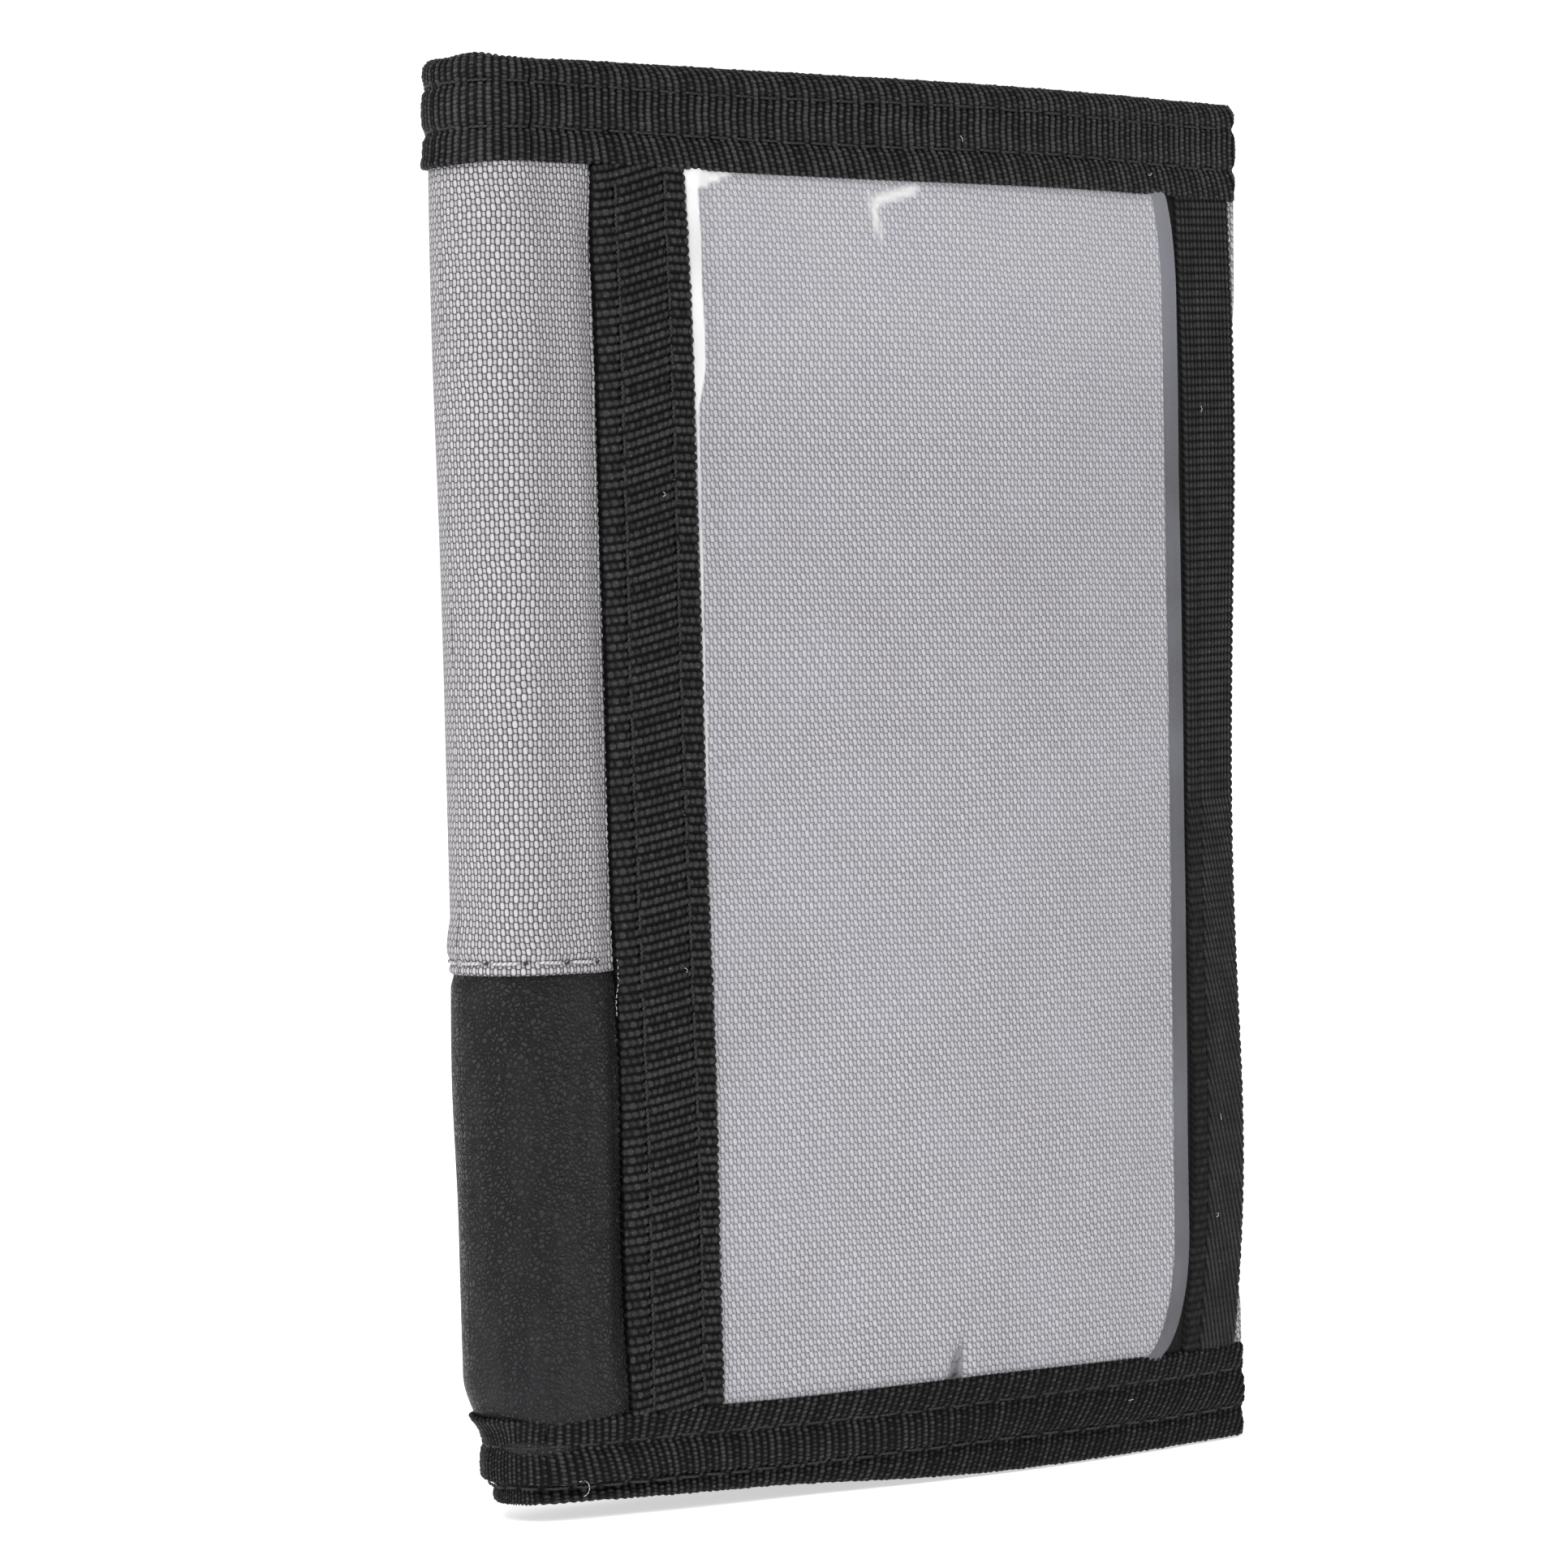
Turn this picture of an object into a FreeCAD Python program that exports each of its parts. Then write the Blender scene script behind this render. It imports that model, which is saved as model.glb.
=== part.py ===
"""Bifold fabric wallet, closed and standing on its bottom edge, as a parametric FreeCAD document.

Frame: +Z up, the origin at the middle of the base, the fold (spine) along Z on the -X side, the free edges on
the +X side. The panel with the clear window is the front and faces -Y; the back panel faces +Y. Lengths are in
millimetres.

Each panel is a stack of sheets counted in from the outer face of its shell: shell, foam, shell lining, the gap
for notes, the inner wall, and the pocket sheets sewn on that wall. The spine wraps the same sheets round the
fold as half rings. A woven tape binds every long edge.
"""

import os

import FreeCAD
import Part
import Sketcher

PARTS_FOLDER = "parts"
FRONT, BACK = -1, 1
HALF_TURN = 180.0
CELLS = "Sizes"

# Driving dimensions: alias, value in millimetres, meaning.
DIMENSIONS = (
    ("wallet_height", 125.0, "closed height, along the fold"),
    ("wallet_width", 85.0, "closed width, spine to free edge"),
    ("wallet_depth", 11.2, "closed depth over the binding tapes"),
    ("tape_thick", 0.6, "binding tape, each leg"),
    ("tape_reach", 9.2, "how far a binding tape comes in from the edge"),
    ("tape_bevel", 0.25, "softened outer corner of a binding tape"),
    ("shell_thick", 0.45, "woven outer shell and leather-look patch"),
    ("foam_thick", 0.8, "foam stiffener"),
    ("lining_thick", 0.15, "lining of the shell"),
    ("note_gap", 1.0, "room for notes between shell lining and inner wall"),
    ("wall_thick", 0.25, "inner wall of the note compartment"),
    ("thin_tape", 0.2, "binding on the top of the inner wall, each leg"),
    ("inner_drop", 4.0, "how far the inner wall ends below the shell"),
    ("spine_note_gap", 1.0, "the same room where the sheets turn round the fold"),
    ("pocket_thick", 0.2, "one pocket sheet"),
    ("pocket_pitch", 0.5, "from one pocket sheet to the next"),
    ("mouth_tape", 0.12, "binding on a pocket's mouth, each leg"),
    ("mouth_reach", 5.0, "height of a pocket mouth's binding"),
    ("band_thick", 0.25, "band that covers the pocket sheets' free edges"),
    ("band_width", 17.5, "width of that band"),
    ("closure_thick", 0.6, "hook tape and loop tape"),
    ("closure_width", 9.0, "width of hook tape and loop tape"),
    ("closure_low", 30.0, "lower end of hook tape and loop tape"),
    ("closure_high", 95.0, "upper end of hook tape and loop tape"),
    ("edge_inset", 0.3, "how far the shell's free edge lies inside the tapes' ends"),
    ("fold_gap", 0.8, "split between the spine's half rings and a panel"),
    ("patch_height", 47.0, "lower edge of the shell's hem, over the leather-look patch"),
    ("hem_depth", 4.0, "height of that hem"),
    ("hem_lap", 3.0, "how far the patch runs up behind the hem"),
    ("hem_thick", 0.25, "how far the hem stands proud"),
    ("webbing_thick", 0.4, "webbing beside the window"),
    ("webbing_width", 10.1, "webbing on the spine side of the window"),
    ("webbing_start", 12.5, "from the outside of the spine to that webbing"),
    ("seam_inset", 4.5, "from that webbing's edge to the seam under it"),
    ("edge_webbing_width", 7.2, "webbing on the free side of the window"),
    ("tuck", 5.0, "how far webbing and window run in under the tapes"),
    ("film_thick", 0.2, "clear window film"),
    ("film_lap", 1.2, "how far the film's free edge lies over the edge webbing"),
    ("film_ramp", 1.5, "width of the film's rise on to the edge webbing"),
    ("film_corner", 5.0, "the free edge of the film starts this far from the tapes"),
    ("rear_slot_mouth", 82.0, "mouth of the rear card slot"),
    ("slot_step", 12.0, "each card slot ends this much lower than the one behind it"),
    ("tall_pocket_mouth", 90.0, "mouth of the tall slip pocket"),
    ("short_pocket_mouth", 60.0, "mouth of the short slip pocket"),
)


class Size:
    """A length with its value and the spreadsheet expression that it comes from."""

    def __init__(self, value, text):
        self.value = value
        self.text = text

    def __add__(self, other):
        other = as_size(other)
        return Size(self.value + other.value, f"({self.text} + {other.text})")

    def __sub__(self, other):
        other = as_size(other)
        return Size(self.value - other.value, f"({self.text} - {other.text})")

    def __mul__(self, factor):
        return Size(self.value * factor, f"({self.text} * {factor})")

    def __neg__(self):
        return Size(-self.value, f"(-1 * {self.text})")


def as_size(value):
    return value if isinstance(value, Size) else Size(float(value), str(float(value)))


def make_sheet(doc):
    """The spreadsheet of driving dimensions, and a Size for each of them."""
    cells = doc.addObject("Spreadsheet::Sheet", CELLS)
    sizes = {}
    for row, (alias, value, meaning) in enumerate(DIMENSIONS, start=1):
        cells.set(f"A{row}", meaning)
        cells.set(f"B{row}", str(value))
        cells.setAlias(f"B{row}", alias)
        sizes[alias] = Size(value, f"{CELLS}.{alias}")
    doc.recompute()
    return sizes


class Maker:
    """Makes the document's objects, with every size and place bound to the spreadsheet."""

    def __init__(self, doc):
        self.doc = doc
        self.parts = []

    def keep(self, thing, label):
        """Marks an object as a sub-part of that name."""
        thing.Label = label
        self.parts.append(thing)
        return thing

    def box(self, label, low, high):
        """A plain slab between two corners."""
        slab = self.doc.addObject("Part::Box", f"{label}_slab")
        for edge, start, end in zip(("Length", "Width", "Height"), low, high):
            slab.setExpression(edge, (as_size(end) - as_size(start)).text)
        for axis, start in zip("xyz", low):
            slab.setExpression(f"Placement.Base.{axis}", as_size(start).text)
        return slab

    def body(self, label, plane, outline):
        """A PartDesign body whose sketch holds the closed outline, each corner placed from the sketch's origin."""
        body = self.doc.addObject("PartDesign::Body", f"{label}_body")
        sketch = body.newObject("Sketcher::SketchObject", f"{label}_outline")
        origin_plane = next(f for f in body.Origin.OriginFeatures if f.Role == plane)
        sketch.AttachmentSupport = [(origin_plane, "")]
        sketch.MapMode = "FlatFace"
        corners = [(as_size(u), as_size(v)) for u, v in outline]
        points = [FreeCAD.Vector(u.value, v.value, 0) for u, v in corners]
        count = len(corners)
        for i in range(count):
            sketch.addGeometry(Part.LineSegment(points[i], points[(i + 1) % count]), False)
        for i in range(count):
            sketch.addConstraint(Sketcher.Constraint("Coincident", i, 2, (i + 1) % count, 1))
        for i, corner in enumerate(corners):
            for kind, place in zip(("DistanceX", "DistanceY"), corner):
                index = sketch.addConstraint(Sketcher.Constraint(kind, -1, 1, i, 1, place.value))
                sketch.setExpression(f"Constraints[{index}]", place.text)
        return body, sketch

    def extrude(self, label, plane, outline, start, end, axis):
        """The outline padded along the sketch's normal, from start to end on that axis."""
        body, sketch = self.body(label, plane, outline)
        pad = body.newObject("PartDesign::Pad", f"{label}_pad")
        pad.Profile = sketch
        pad.setExpression("Length", (as_size(end) - as_size(start)).text)
        body.setExpression(f"Placement.Base.{axis}", as_size(start).text)
        return body

    def wrap(self, label, outline, centre_x):
        """The outline, as radius and height, turned half a turn round the fold on the -X side."""
        body, sketch = self.body(label, "XZ_Plane", outline)
        turn = body.newObject("PartDesign::Revolution", f"{label}_turn")
        turn.Profile = sketch
        turn.ReferenceAxis = (sketch, ["V_Axis"])
        turn.Angle = HALF_TURN
        turn.Midplane = True
        turn_about_z = FreeCAD.Rotation(FreeCAD.Vector(0, 0, 1), HALF_TURN)
        body.Placement = FreeCAD.Placement(FreeCAD.Vector(), turn_about_z)
        body.setExpression("Placement.Base.x", centre_x.text)
        return body

    def cut(self, label, base, tools):
        """The base without the tools, which stay sub-parts of their own."""
        group = self.doc.addObject("Part::Compound", f"{label}_tools")
        group.Links = tools
        cut = self.doc.addObject("Part::Cut", f"{label}_cut")
        cut.Base = base
        cut.Tool = group
        return cut


def rectangle(u0, u1, v0, v1):
    return [(u0, v0), (u1, v0), (u1, v1), (u0, v1)]


def channel(outer, inner, wall, closed, open_end, bevel):
    """A U outline that wraps an edge: legs from outer to inner, its back at closed, its mouth at open_end.

    outer and inner are the faces of what it wraps, across; closed and open_end are the heights along.
    """
    across = 1 if inner.value > outer.value else -1
    along = 1 if closed.value > open_end.value else -1
    out = outer - wall * across
    far = inner + wall * across
    back = closed - wall * along
    return [
        (out, open_end),
        (out, closed - bevel * along),
        (out + bevel * across, closed),
        (far - bevel * across, closed),
        (far, closed - bevel * along),
        (far, open_end),
        (inner, open_end),
        (inner, back),
        (outer, back),
        (outer, open_end),
    ]


class Layout:
    """Places worked out from the driving dimensions."""

    def __init__(self, d):
        self.d = d
        half_width = d["wallet_width"] * 0.5
        half_depth = d["wallet_depth"] * 0.5
        height = d["wallet_height"]
        self.top = height
        self.shell_face = half_depth - d["tape_thick"]
        self.fold_x = half_depth - half_width
        self.panel_start = self.fold_x + d["fold_gap"]
        self.panel_end = half_width
        self.shell_end = half_width - d["edge_inset"]
        self.sheet_end = self.shell_end - d["shell_thick"]
        self.floor = d["tape_thick"]
        self.shell_top = height - d["tape_thick"]
        self.tape_low = height - d["tape_reach"]
        # Depths, counted in from the shell's outer face.
        self.foam = d["shell_thick"]
        self.lining = self.foam + d["foam_thick"]
        self.notes = self.lining + d["lining_thick"]
        self.wall = self.notes + d["note_gap"]
        self.wall_in = self.wall + d["wall_thick"]
        self.first_pocket = self.wall_in + d["wall_thick"]
        self.inner_top = height - d["inner_drop"]
        self.patch_top = d["patch_height"] + d["hem_lap"]

    def across(self, side, depth):
        """The y of a depth in the panel on that side."""
        place = self.shell_face - depth
        return place if side == BACK else -place

    def slab_y(self, side, outer, inner):
        """Lower and higher y of a sheet between two depths."""
        faces = self.across(side, as_size(outer)), self.across(side, as_size(inner))
        return faces if side == FRONT else faces[::-1]

    def radius(self, depth):
        """The radius, about the fold, of a depth at the spine."""
        return self.shell_face - depth

    def pocket(self, index):
        """The outer depth of a pocket sheet, 0 next to the inner wall."""
        return self.first_pocket + self.d["pocket_pitch"] * index


def hemmed_outline(place, d, at):
    """Upper shell with its hem lapped over the patch; place turns a depth into the sketch's first coordinate."""
    hem_low = d["patch_height"]
    hem_high = hem_low + d["hem_depth"]
    face, inside, proud = place(as_size(0)), place(d["shell_thick"]), place(-d["hem_thick"])
    return [
        (inside, at.patch_top),
        (inside, at.shell_top),
        (face, at.shell_top),
        (face, hem_high),
        (proud, hem_high),
        (proud, hem_low),
        (face, hem_low),
        (face, at.patch_top),
    ]


def panel_shell(make, d, at, side, names, start, end):
    """Upper woven shell and lower patch of one panel, between two x."""
    upper, lower = names
    outline = hemmed_outline(lambda depth: at.across(side, depth), d, at)
    shell = make.keep(make.extrude(upper, "YZ_Plane", outline, start, end, "x"), upper)
    faces = at.slab_y(side, 0, d["shell_thick"])
    low, high = (start, faces[0], at.floor), (end, faces[1], at.patch_top)
    make.keep(make.box(lower, low, high), lower)
    return shell


def sheet_layer(make, at, side, name, depths, x_range, z_range):
    """One flat sheet of a panel's stack."""
    faces = at.slab_y(side, *depths)
    low, high = (x_range[0], faces[0], z_range[0]), (x_range[1], faces[1], z_range[1])
    return make.keep(make.box(name, low, high), name)


def window(make, d, at):
    """The window's backing, the clear film and the two strips of webbing beside it."""
    webbing_x = d["webbing_start"] - at.panel_end
    webbing_end = webbing_x + d["webbing_width"]
    seam_x = webbing_x + d["seam_inset"]
    edge_x = at.shell_end - d["edge_webbing_width"]
    low, high = d["tape_reach"] - d["tuck"], at.tape_low + d["tuck"]
    face, inside = at.across(FRONT, as_size(0)), at.across(FRONT, d["shell_thick"])
    hem_in = at.across(FRONT, at.notes)
    backing_outline = [
        (seam_x, face),
        (at.shell_end, face),
        (at.shell_end, hem_in),
        (at.sheet_end, hem_in),
        (at.sheet_end, inside),
        (seam_x, inside),
    ]
    backing = make.extrude("window_backing", "XY_Plane", backing_outline, at.floor, at.shell_top, "z")
    make.keep(backing, "window_backing")

    film_x = seam_x + d["film_thick"]
    film_out = at.across(FRONT, -d["film_thick"])
    lip_in = at.across(FRONT, -d["webbing_thick"])
    lip_out = at.across(FRONT, -d["webbing_thick"] - d["film_thick"])
    lip_end = edge_x + d["film_lap"]
    ramp_start = edge_x - d["film_ramp"]
    lip_outline = [
        (film_x, face),
        (film_x, film_out),
        (ramp_start, film_out),
        (edge_x, lip_out),
        (lip_end, lip_out),
        (lip_end, lip_in),
        (edge_x, lip_in),
        (ramp_start, face),
    ]
    lip_low = d["tape_reach"] + d["film_corner"]
    lip_high = at.tape_low - d["film_corner"]
    lip = make.extrude("film_lip", "XY_Plane", lip_outline, lip_low, lip_high, "z")
    flat = make.box("film_flat", (film_x, film_out, low), (ramp_start, face, high))
    film = make.doc.addObject("Part::Fuse", "film_fuse")
    film.Base, film.Tool = lip, flat
    make.keep(film, "window_film")

    side_names = "front_side_strip", "front_side_patch"
    side_strip = panel_shell(make, d, at, FRONT, side_names, at.panel_start, seam_x)
    webbing_out = at.across(FRONT, -d["webbing_thick"])
    strip = make.box("webbing", (webbing_x, webbing_out, low), (webbing_end, face, high))
    webbing = make.keep(make.cut("webbing", strip, [film, side_strip]), "window_webbing")
    edge = make.box("edge_webbing", (edge_x, webbing_out, low), (at.shell_end - d["edge_inset"], face, high))
    make.keep(edge, "edge_webbing")
    return [webbing, edge, film]


def outer_tapes(make, d, at, side, panel, under, stack_depth):
    """Binding tapes of one panel: the shell's top edge, and the whole stack's bottom edge."""
    ends = {
        "top": (at.notes, at.top, at.tape_low),
        "bottom": (stack_depth, as_size(0), d["tape_reach"]),
    }
    for edge, (depth, closed, open_end) in ends.items():
        name = f"{panel}_{edge}_tape"
        faces = at.across(side, as_size(0)), at.across(side, depth)
        outline = channel(*faces, d["tape_thick"], closed, open_end, d["tape_bevel"])
        tape = make.extrude(name, "YZ_Plane", outline, at.panel_start, at.panel_end, "x")
        make.keep(make.cut(name, tape, under) if under else tape, name)


def inner_wall(make, d, at, side, panel):
    """Foam and lining behind the shell, and the inner wall of the note compartment with its bound top edge."""
    across_x = at.panel_start, at.sheet_end
    up_z = at.floor, at.shell_top
    sheet_layer(make, at, side, f"{panel}_stiffener", (at.foam, at.lining), across_x, up_z)
    sheet_layer(make, at, side, f"{panel}_lining", (at.lining, at.notes), across_x, up_z)
    wall_top = at.inner_top - d["thin_tape"]
    sheet_layer(make, at, side, f"{panel}_inner_wall", (at.wall, at.wall_in), across_x, (at.floor, wall_top))
    faces = at.across(side, at.wall), at.across(side, at.wall_in)
    low = at.inner_top - d["tape_reach"]
    outline = channel(*faces, d["thin_tape"], at.inner_top, low, d["thin_tape"] * 0.5)
    name = f"{panel}_inner_tape"
    make.keep(make.extrude(name, "YZ_Plane", outline, at.panel_start, at.sheet_end, "x"), name)


def pocket(make, d, at, side, name, index, mouth, end):
    """A pocket sheet and the binding on its mouth."""
    outer = at.pocket(index)
    inner = outer + d["pocket_thick"]
    sheet_top = mouth - d["mouth_tape"]
    sheet_layer(make, at, side, name, (outer, inner), (at.panel_start, end), (at.floor, sheet_top))
    faces = at.across(side, outer), at.across(side, inner)
    outline = channel(*faces, d["mouth_tape"], mouth, mouth - d["mouth_reach"], d["mouth_tape"] * 0.5)
    tape = f"{name}_tape"
    make.keep(make.extrude(tape, "YZ_Plane", outline, at.panel_start, end, "x"), tape)


def pockets(make, d, at):
    """Card slots on the front panel's inner wall and slip pockets on the back panel's, with the closure."""
    band_start = at.sheet_end - d["band_width"]
    card_mouth = d["rear_slot_mouth"]
    for index, place in enumerate(("rear", "middle", "near")):
        mouth = card_mouth - d["slot_step"] * index
        pocket(make, d, at, FRONT, f"card_slot_{place}", index, mouth, at.sheet_end)
    for index, place in enumerate(("tall", "short")):
        mouth = d[f"{place}_pocket_mouth"]
        pocket(make, d, at, BACK, f"slip_pocket_{place}", index, mouth, at.sheet_end)

    stacks = {}
    for side, panel, count, closure in ((FRONT, "front", 3, "hook_tape"), (BACK, "back", 2, "loop_tape")):
        face = at.pocket(count - 1) + d["pocket_thick"] + d["mouth_tape"]
        band_in = face + d["band_thick"]
        band_x = band_start, at.sheet_end
        band_z = at.floor, at.inner_top - d["tape_reach"]
        sheet_layer(make, at, side, f"{panel}_edge_band", (face, band_in), band_x, band_z)
        closure_start = band_start + (d["band_width"] - d["closure_width"]) * 0.5
        closure_x = closure_start, closure_start + d["closure_width"]
        closure_z = d["closure_low"], d["closure_high"]
        depths = band_in, band_in + d["closure_thick"]
        sheet_layer(make, at, side, closure, depths, closure_x, closure_z)
        stacks[side] = band_in
    return stacks


def spine(make, d, at):
    """The sheets and tapes that turn round the fold."""
    centre = at.fold_x
    upper = hemmed_outline(at.radius, d, at)
    make.keep(make.wrap("spine_shell", upper, centre), "spine_shell")
    shell_out, shell_in = at.radius(as_size(0)), at.radius(d["shell_thick"])
    lining_in = shell_in - d["lining_thick"]
    wall_out = lining_in - d["spine_note_gap"]
    wall_in = wall_out - d["wall_thick"]
    wall_top = at.inner_top - d["thin_tape"]
    rings = {
        "spine_patch": (shell_in, shell_out, at.floor, at.patch_top),
        "spine_lining": (lining_in, shell_in, at.floor, at.shell_top),
        "spine_inner_wall": (wall_in, wall_out, at.floor, wall_top),
    }
    for name, ring in rings.items():
        make.keep(make.wrap(name, rectangle(*ring), centre), name)
    inner_low = at.inner_top - d["tape_reach"]
    tapes = {
        "spine_top_tape": (shell_out, lining_in, d["tape_thick"], at.top, at.tape_low, d["tape_bevel"]),
        "spine_bottom_tape": (shell_out, wall_in, d["tape_thick"], as_size(0), d["tape_reach"], d["tape_bevel"]),
        "spine_inner_tape": (wall_out, wall_in, d["thin_tape"], at.inner_top, inner_low, d["thin_tape"] * 0.5),
    }
    for name, outline in tapes.items():
        make.keep(make.wrap(name, channel(*outline), centre), name)


def build():
    doc = FreeCAD.newDocument("bifold_wallet")
    d = make_sheet(doc)
    at = Layout(d)
    make = Maker(doc)
    under = window(make, d, at)
    panel_shell(make, d, at, BACK, ("back_shell", "back_patch"), at.panel_start, at.shell_end)
    stacks = pockets(make, d, at)
    for side, panel, beneath in ((FRONT, "front", under), (BACK, "back", [])):
        inner_wall(make, d, at, side, panel)
        outer_tapes(make, d, at, side, panel, beneath, stacks[side])
    spine(make, d, at)
    doc.recompute()
    return doc, make.parts


def write(doc, parts):
    """Checks every object and sub-part, then writes one STEP file per sub-part."""
    failed = [o.Name for o in doc.Objects if "Invalid" in o.State or "Error" in o.State]
    if failed:
        raise RuntimeError(f"these objects failed to build: {failed}")
    for part in parts:
        if part.Shape.isNull() or not part.Shape.isValid() or not part.Shape.Solids:
            raise RuntimeError(f"{part.Label} has no valid solid")
    os.makedirs(PARTS_FOLDER, exist_ok=True)
    for part in parts:
        part.Shape.exportStep(os.path.join(PARTS_FOLDER, f"{part.Label}.step"))
        box = part.Shape.BoundBox
        print(f"{part.Label:26s} {len(part.Shape.Solids)} solid  {part.Shape.Volume:9.1f} mm3", end="  ")
        print(f"x {box.XMin:7.2f} {box.XMax:7.2f}  y {box.YMin:6.2f} {box.YMax:6.2f}", end="  ")
        print(f"z {box.ZMin:6.2f} {box.ZMax:6.2f}")


write(*build())
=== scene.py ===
"""Looks of the bifold wallet: every cloth, tape, webbing, film and thread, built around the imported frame.

Shapes are worked out in millimetres and become metres when a mesh is made. A point on the wallet is given by
its side, by how far along the cloth it lies from the middle of the spine, by its height, and by how far it
stands out of the shell's face. The panels are thickest in the middle and thin out towards the free edge.
"""

import math

import bpy
import numpy as np
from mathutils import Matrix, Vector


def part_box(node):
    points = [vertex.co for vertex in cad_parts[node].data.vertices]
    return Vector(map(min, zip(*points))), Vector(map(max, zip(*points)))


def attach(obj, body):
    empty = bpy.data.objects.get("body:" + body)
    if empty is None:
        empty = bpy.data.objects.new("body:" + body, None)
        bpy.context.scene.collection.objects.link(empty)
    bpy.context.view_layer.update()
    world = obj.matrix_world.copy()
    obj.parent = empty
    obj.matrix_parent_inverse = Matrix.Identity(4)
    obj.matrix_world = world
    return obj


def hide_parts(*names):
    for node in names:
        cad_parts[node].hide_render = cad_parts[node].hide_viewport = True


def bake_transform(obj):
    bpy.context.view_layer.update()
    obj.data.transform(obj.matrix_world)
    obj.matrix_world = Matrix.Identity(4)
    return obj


MM = 0.001
FRONT, BACK = -1.0, 1.0
SIDES = {"front": FRONT, "back": BACK}

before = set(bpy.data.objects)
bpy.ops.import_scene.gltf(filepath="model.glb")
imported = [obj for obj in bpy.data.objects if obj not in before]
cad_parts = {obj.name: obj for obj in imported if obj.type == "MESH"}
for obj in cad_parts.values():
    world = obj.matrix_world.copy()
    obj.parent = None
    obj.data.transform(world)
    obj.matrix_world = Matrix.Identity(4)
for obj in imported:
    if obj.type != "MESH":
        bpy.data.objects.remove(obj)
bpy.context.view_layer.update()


def span(node, axis):
    """A node's lowest and highest place along an axis, in millimetres."""
    low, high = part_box(node)
    return low["xyz".index(axis)] / MM, high["xyz".index(axis)] / MM


# The frame's places, in millimetres.
TOP = span("front_top_tape", "z")[1]
TAPE_EDGE = {"top": span("front_top_tape", "z")[0], "bottom": span("front_bottom_tape", "z")[1]}
FACE = -span("front_side_patch", "y")[0]
FOLD_X = span("spine_patch", "x")[1]
FREE_X = span("front_top_tape", "x")[1]
SHELL_X = span("back_shell", "x")[1]
LAYER_X = span("front_inner_wall", "x")[1]
SHELL_TOP = span("front_lining", "z")[1]
HEM = span("front_side_strip", "z")[0]
PATCH_TOP = span("front_side_patch", "z")[1]
QUARTER = FACE * math.pi / 2  # A quarter turn round the spine, from its middle to the fold with a panel.
CLOTH_TOP = SHELL_TOP - 0.8
HEM_ROW = HEM + 1.0

# The webbings and the film lie within their frame's places, a little nearer to the spine where they are sewn.
WEBBING = (-29.6, -20.1)
EDGE_WEBBING = (34.9, 42.0)
FILM = (-23.0, 34.9)
FILM_LIP = 1.4
FACING_WIDTH = 10.0
STRIP_END = -26.0
BACKING = (-27.0, 42.3)
LAYER_FOOT = 4.4
STRAP_ENDS = (7.5, 117.5)
TAPE_END = {"top": 43.0, "bottom": 42.05}

# How thick the closed wallet is along its width, as a share of the frame's depth, and its free edge's lean.
FULLNESS_X = (FOLD_X, -14.0, 5.0, 24.0, FREE_X)
FULLNESS = (1.0, 1.06, 1.22, 1.10, 0.52)
LEAN = 1.0

# How the sewing strays from straight, by height: the two webbings sideways, and the spine inwards.
WEBBING_STRAY = ((8.0, 30.0, 66.0, 102.0, 116.0), (1.1, 0.95, 0.15, -0.45, -1.0))
EDGE_STRAY = ((9.0, 20.0, 48.0, 64.0, 100.0, 116.0), (-1.0, 0.4, 0.4, 0.35, 0.8, 0.1))
SPINE_STRAY = ((8.0, 30.0, 50.0, 86.0, 102.0, 116.0), (0.55, 0.42, 0.15, -0.3, -0.65, -0.7))

# How thick each cloth is, and how deep the inner ones lie behind the shell's face, on the spine and panel.
THICK = {"oxford": 0.4, "leather_patch": 0.35, "lining_cloth": 0.15, "note_wall": 0.22, "foam": 0.7}
WINDOW_THICK, FACING_THICK, TAPE_THICK = 0.42, 0.11, 0.5
DEPTH = {"lining_cloth": (-1.25, -1.25), "note_wall": (-1.62, -2.4)}
FOAM_DEPTH = -0.47

# Ribs and beads of the woven tapes, how much closer the ribs are on the gathered spine, and the tapes' back.
TAPE_RIB, TAPE_BEAD = 0.74, 0.36
WEBBING_RIB, WEBBING_BEAD = 0.775, 0.585
EDGE_RIB, EDGE_BEAD = 0.74, 0.5
GATHERED = 1.25
INNER_SHADE = 0.3

# From one stitch to the next along a tape and up a panel, and how thick the thread is.
STITCH, EDGE_STITCH = 2.6, 2.4
THREAD_RADIUS = 0.15


# ---------------------------------------------------------------- curves


def natural_spline(x, knots, values):
    """A smooth curve through the values at the knots."""
    knots, values = np.asarray(knots, float), np.asarray(values, float)
    count = len(knots)
    gap = np.diff(knots)
    slope = np.diff(values) / gap
    system = np.eye(count)
    bend = np.zeros(count)
    for i in range(1, count - 1):
        system[i, i - 1 : i + 2] = gap[i - 1], 2 * (gap[i - 1] + gap[i]), gap[i]
        bend[i] = 6 * (slope[i] - slope[i - 1])
    second = np.linalg.solve(system, bend)
    x = np.clip(x, knots[0], knots[-1])
    i = np.clip(np.searchsorted(knots, x) - 1, 0, count - 2)
    after, before = x - knots[i], knots[i + 1] - x
    cubic = (second[i] * before**3 + second[i + 1] * after**3) / (6 * gap[i])
    start = (values[i] / gap[i] - second[i] * gap[i] / 6) * before
    end = (values[i + 1] / gap[i] - second[i + 1] * gap[i] / 6) * after
    return cubic + start + end


def smooth(x, low, high):
    """0 below low, 1 above high, and a smooth rise between them."""
    t = np.clip((np.asarray(x, float) - low) / (high - low), 0, 1)
    return t * t * (3 - 2 * t)


def dip(x, middle, width):
    """A round dip or bump of height 1."""
    return np.exp(-(((np.asarray(x, float) - middle) / width) ** 2))


def crests(x, power):
    """A row of crests of height 1, one for each unit of x."""
    return np.abs(np.sin(np.pi * x)) ** power


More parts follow.
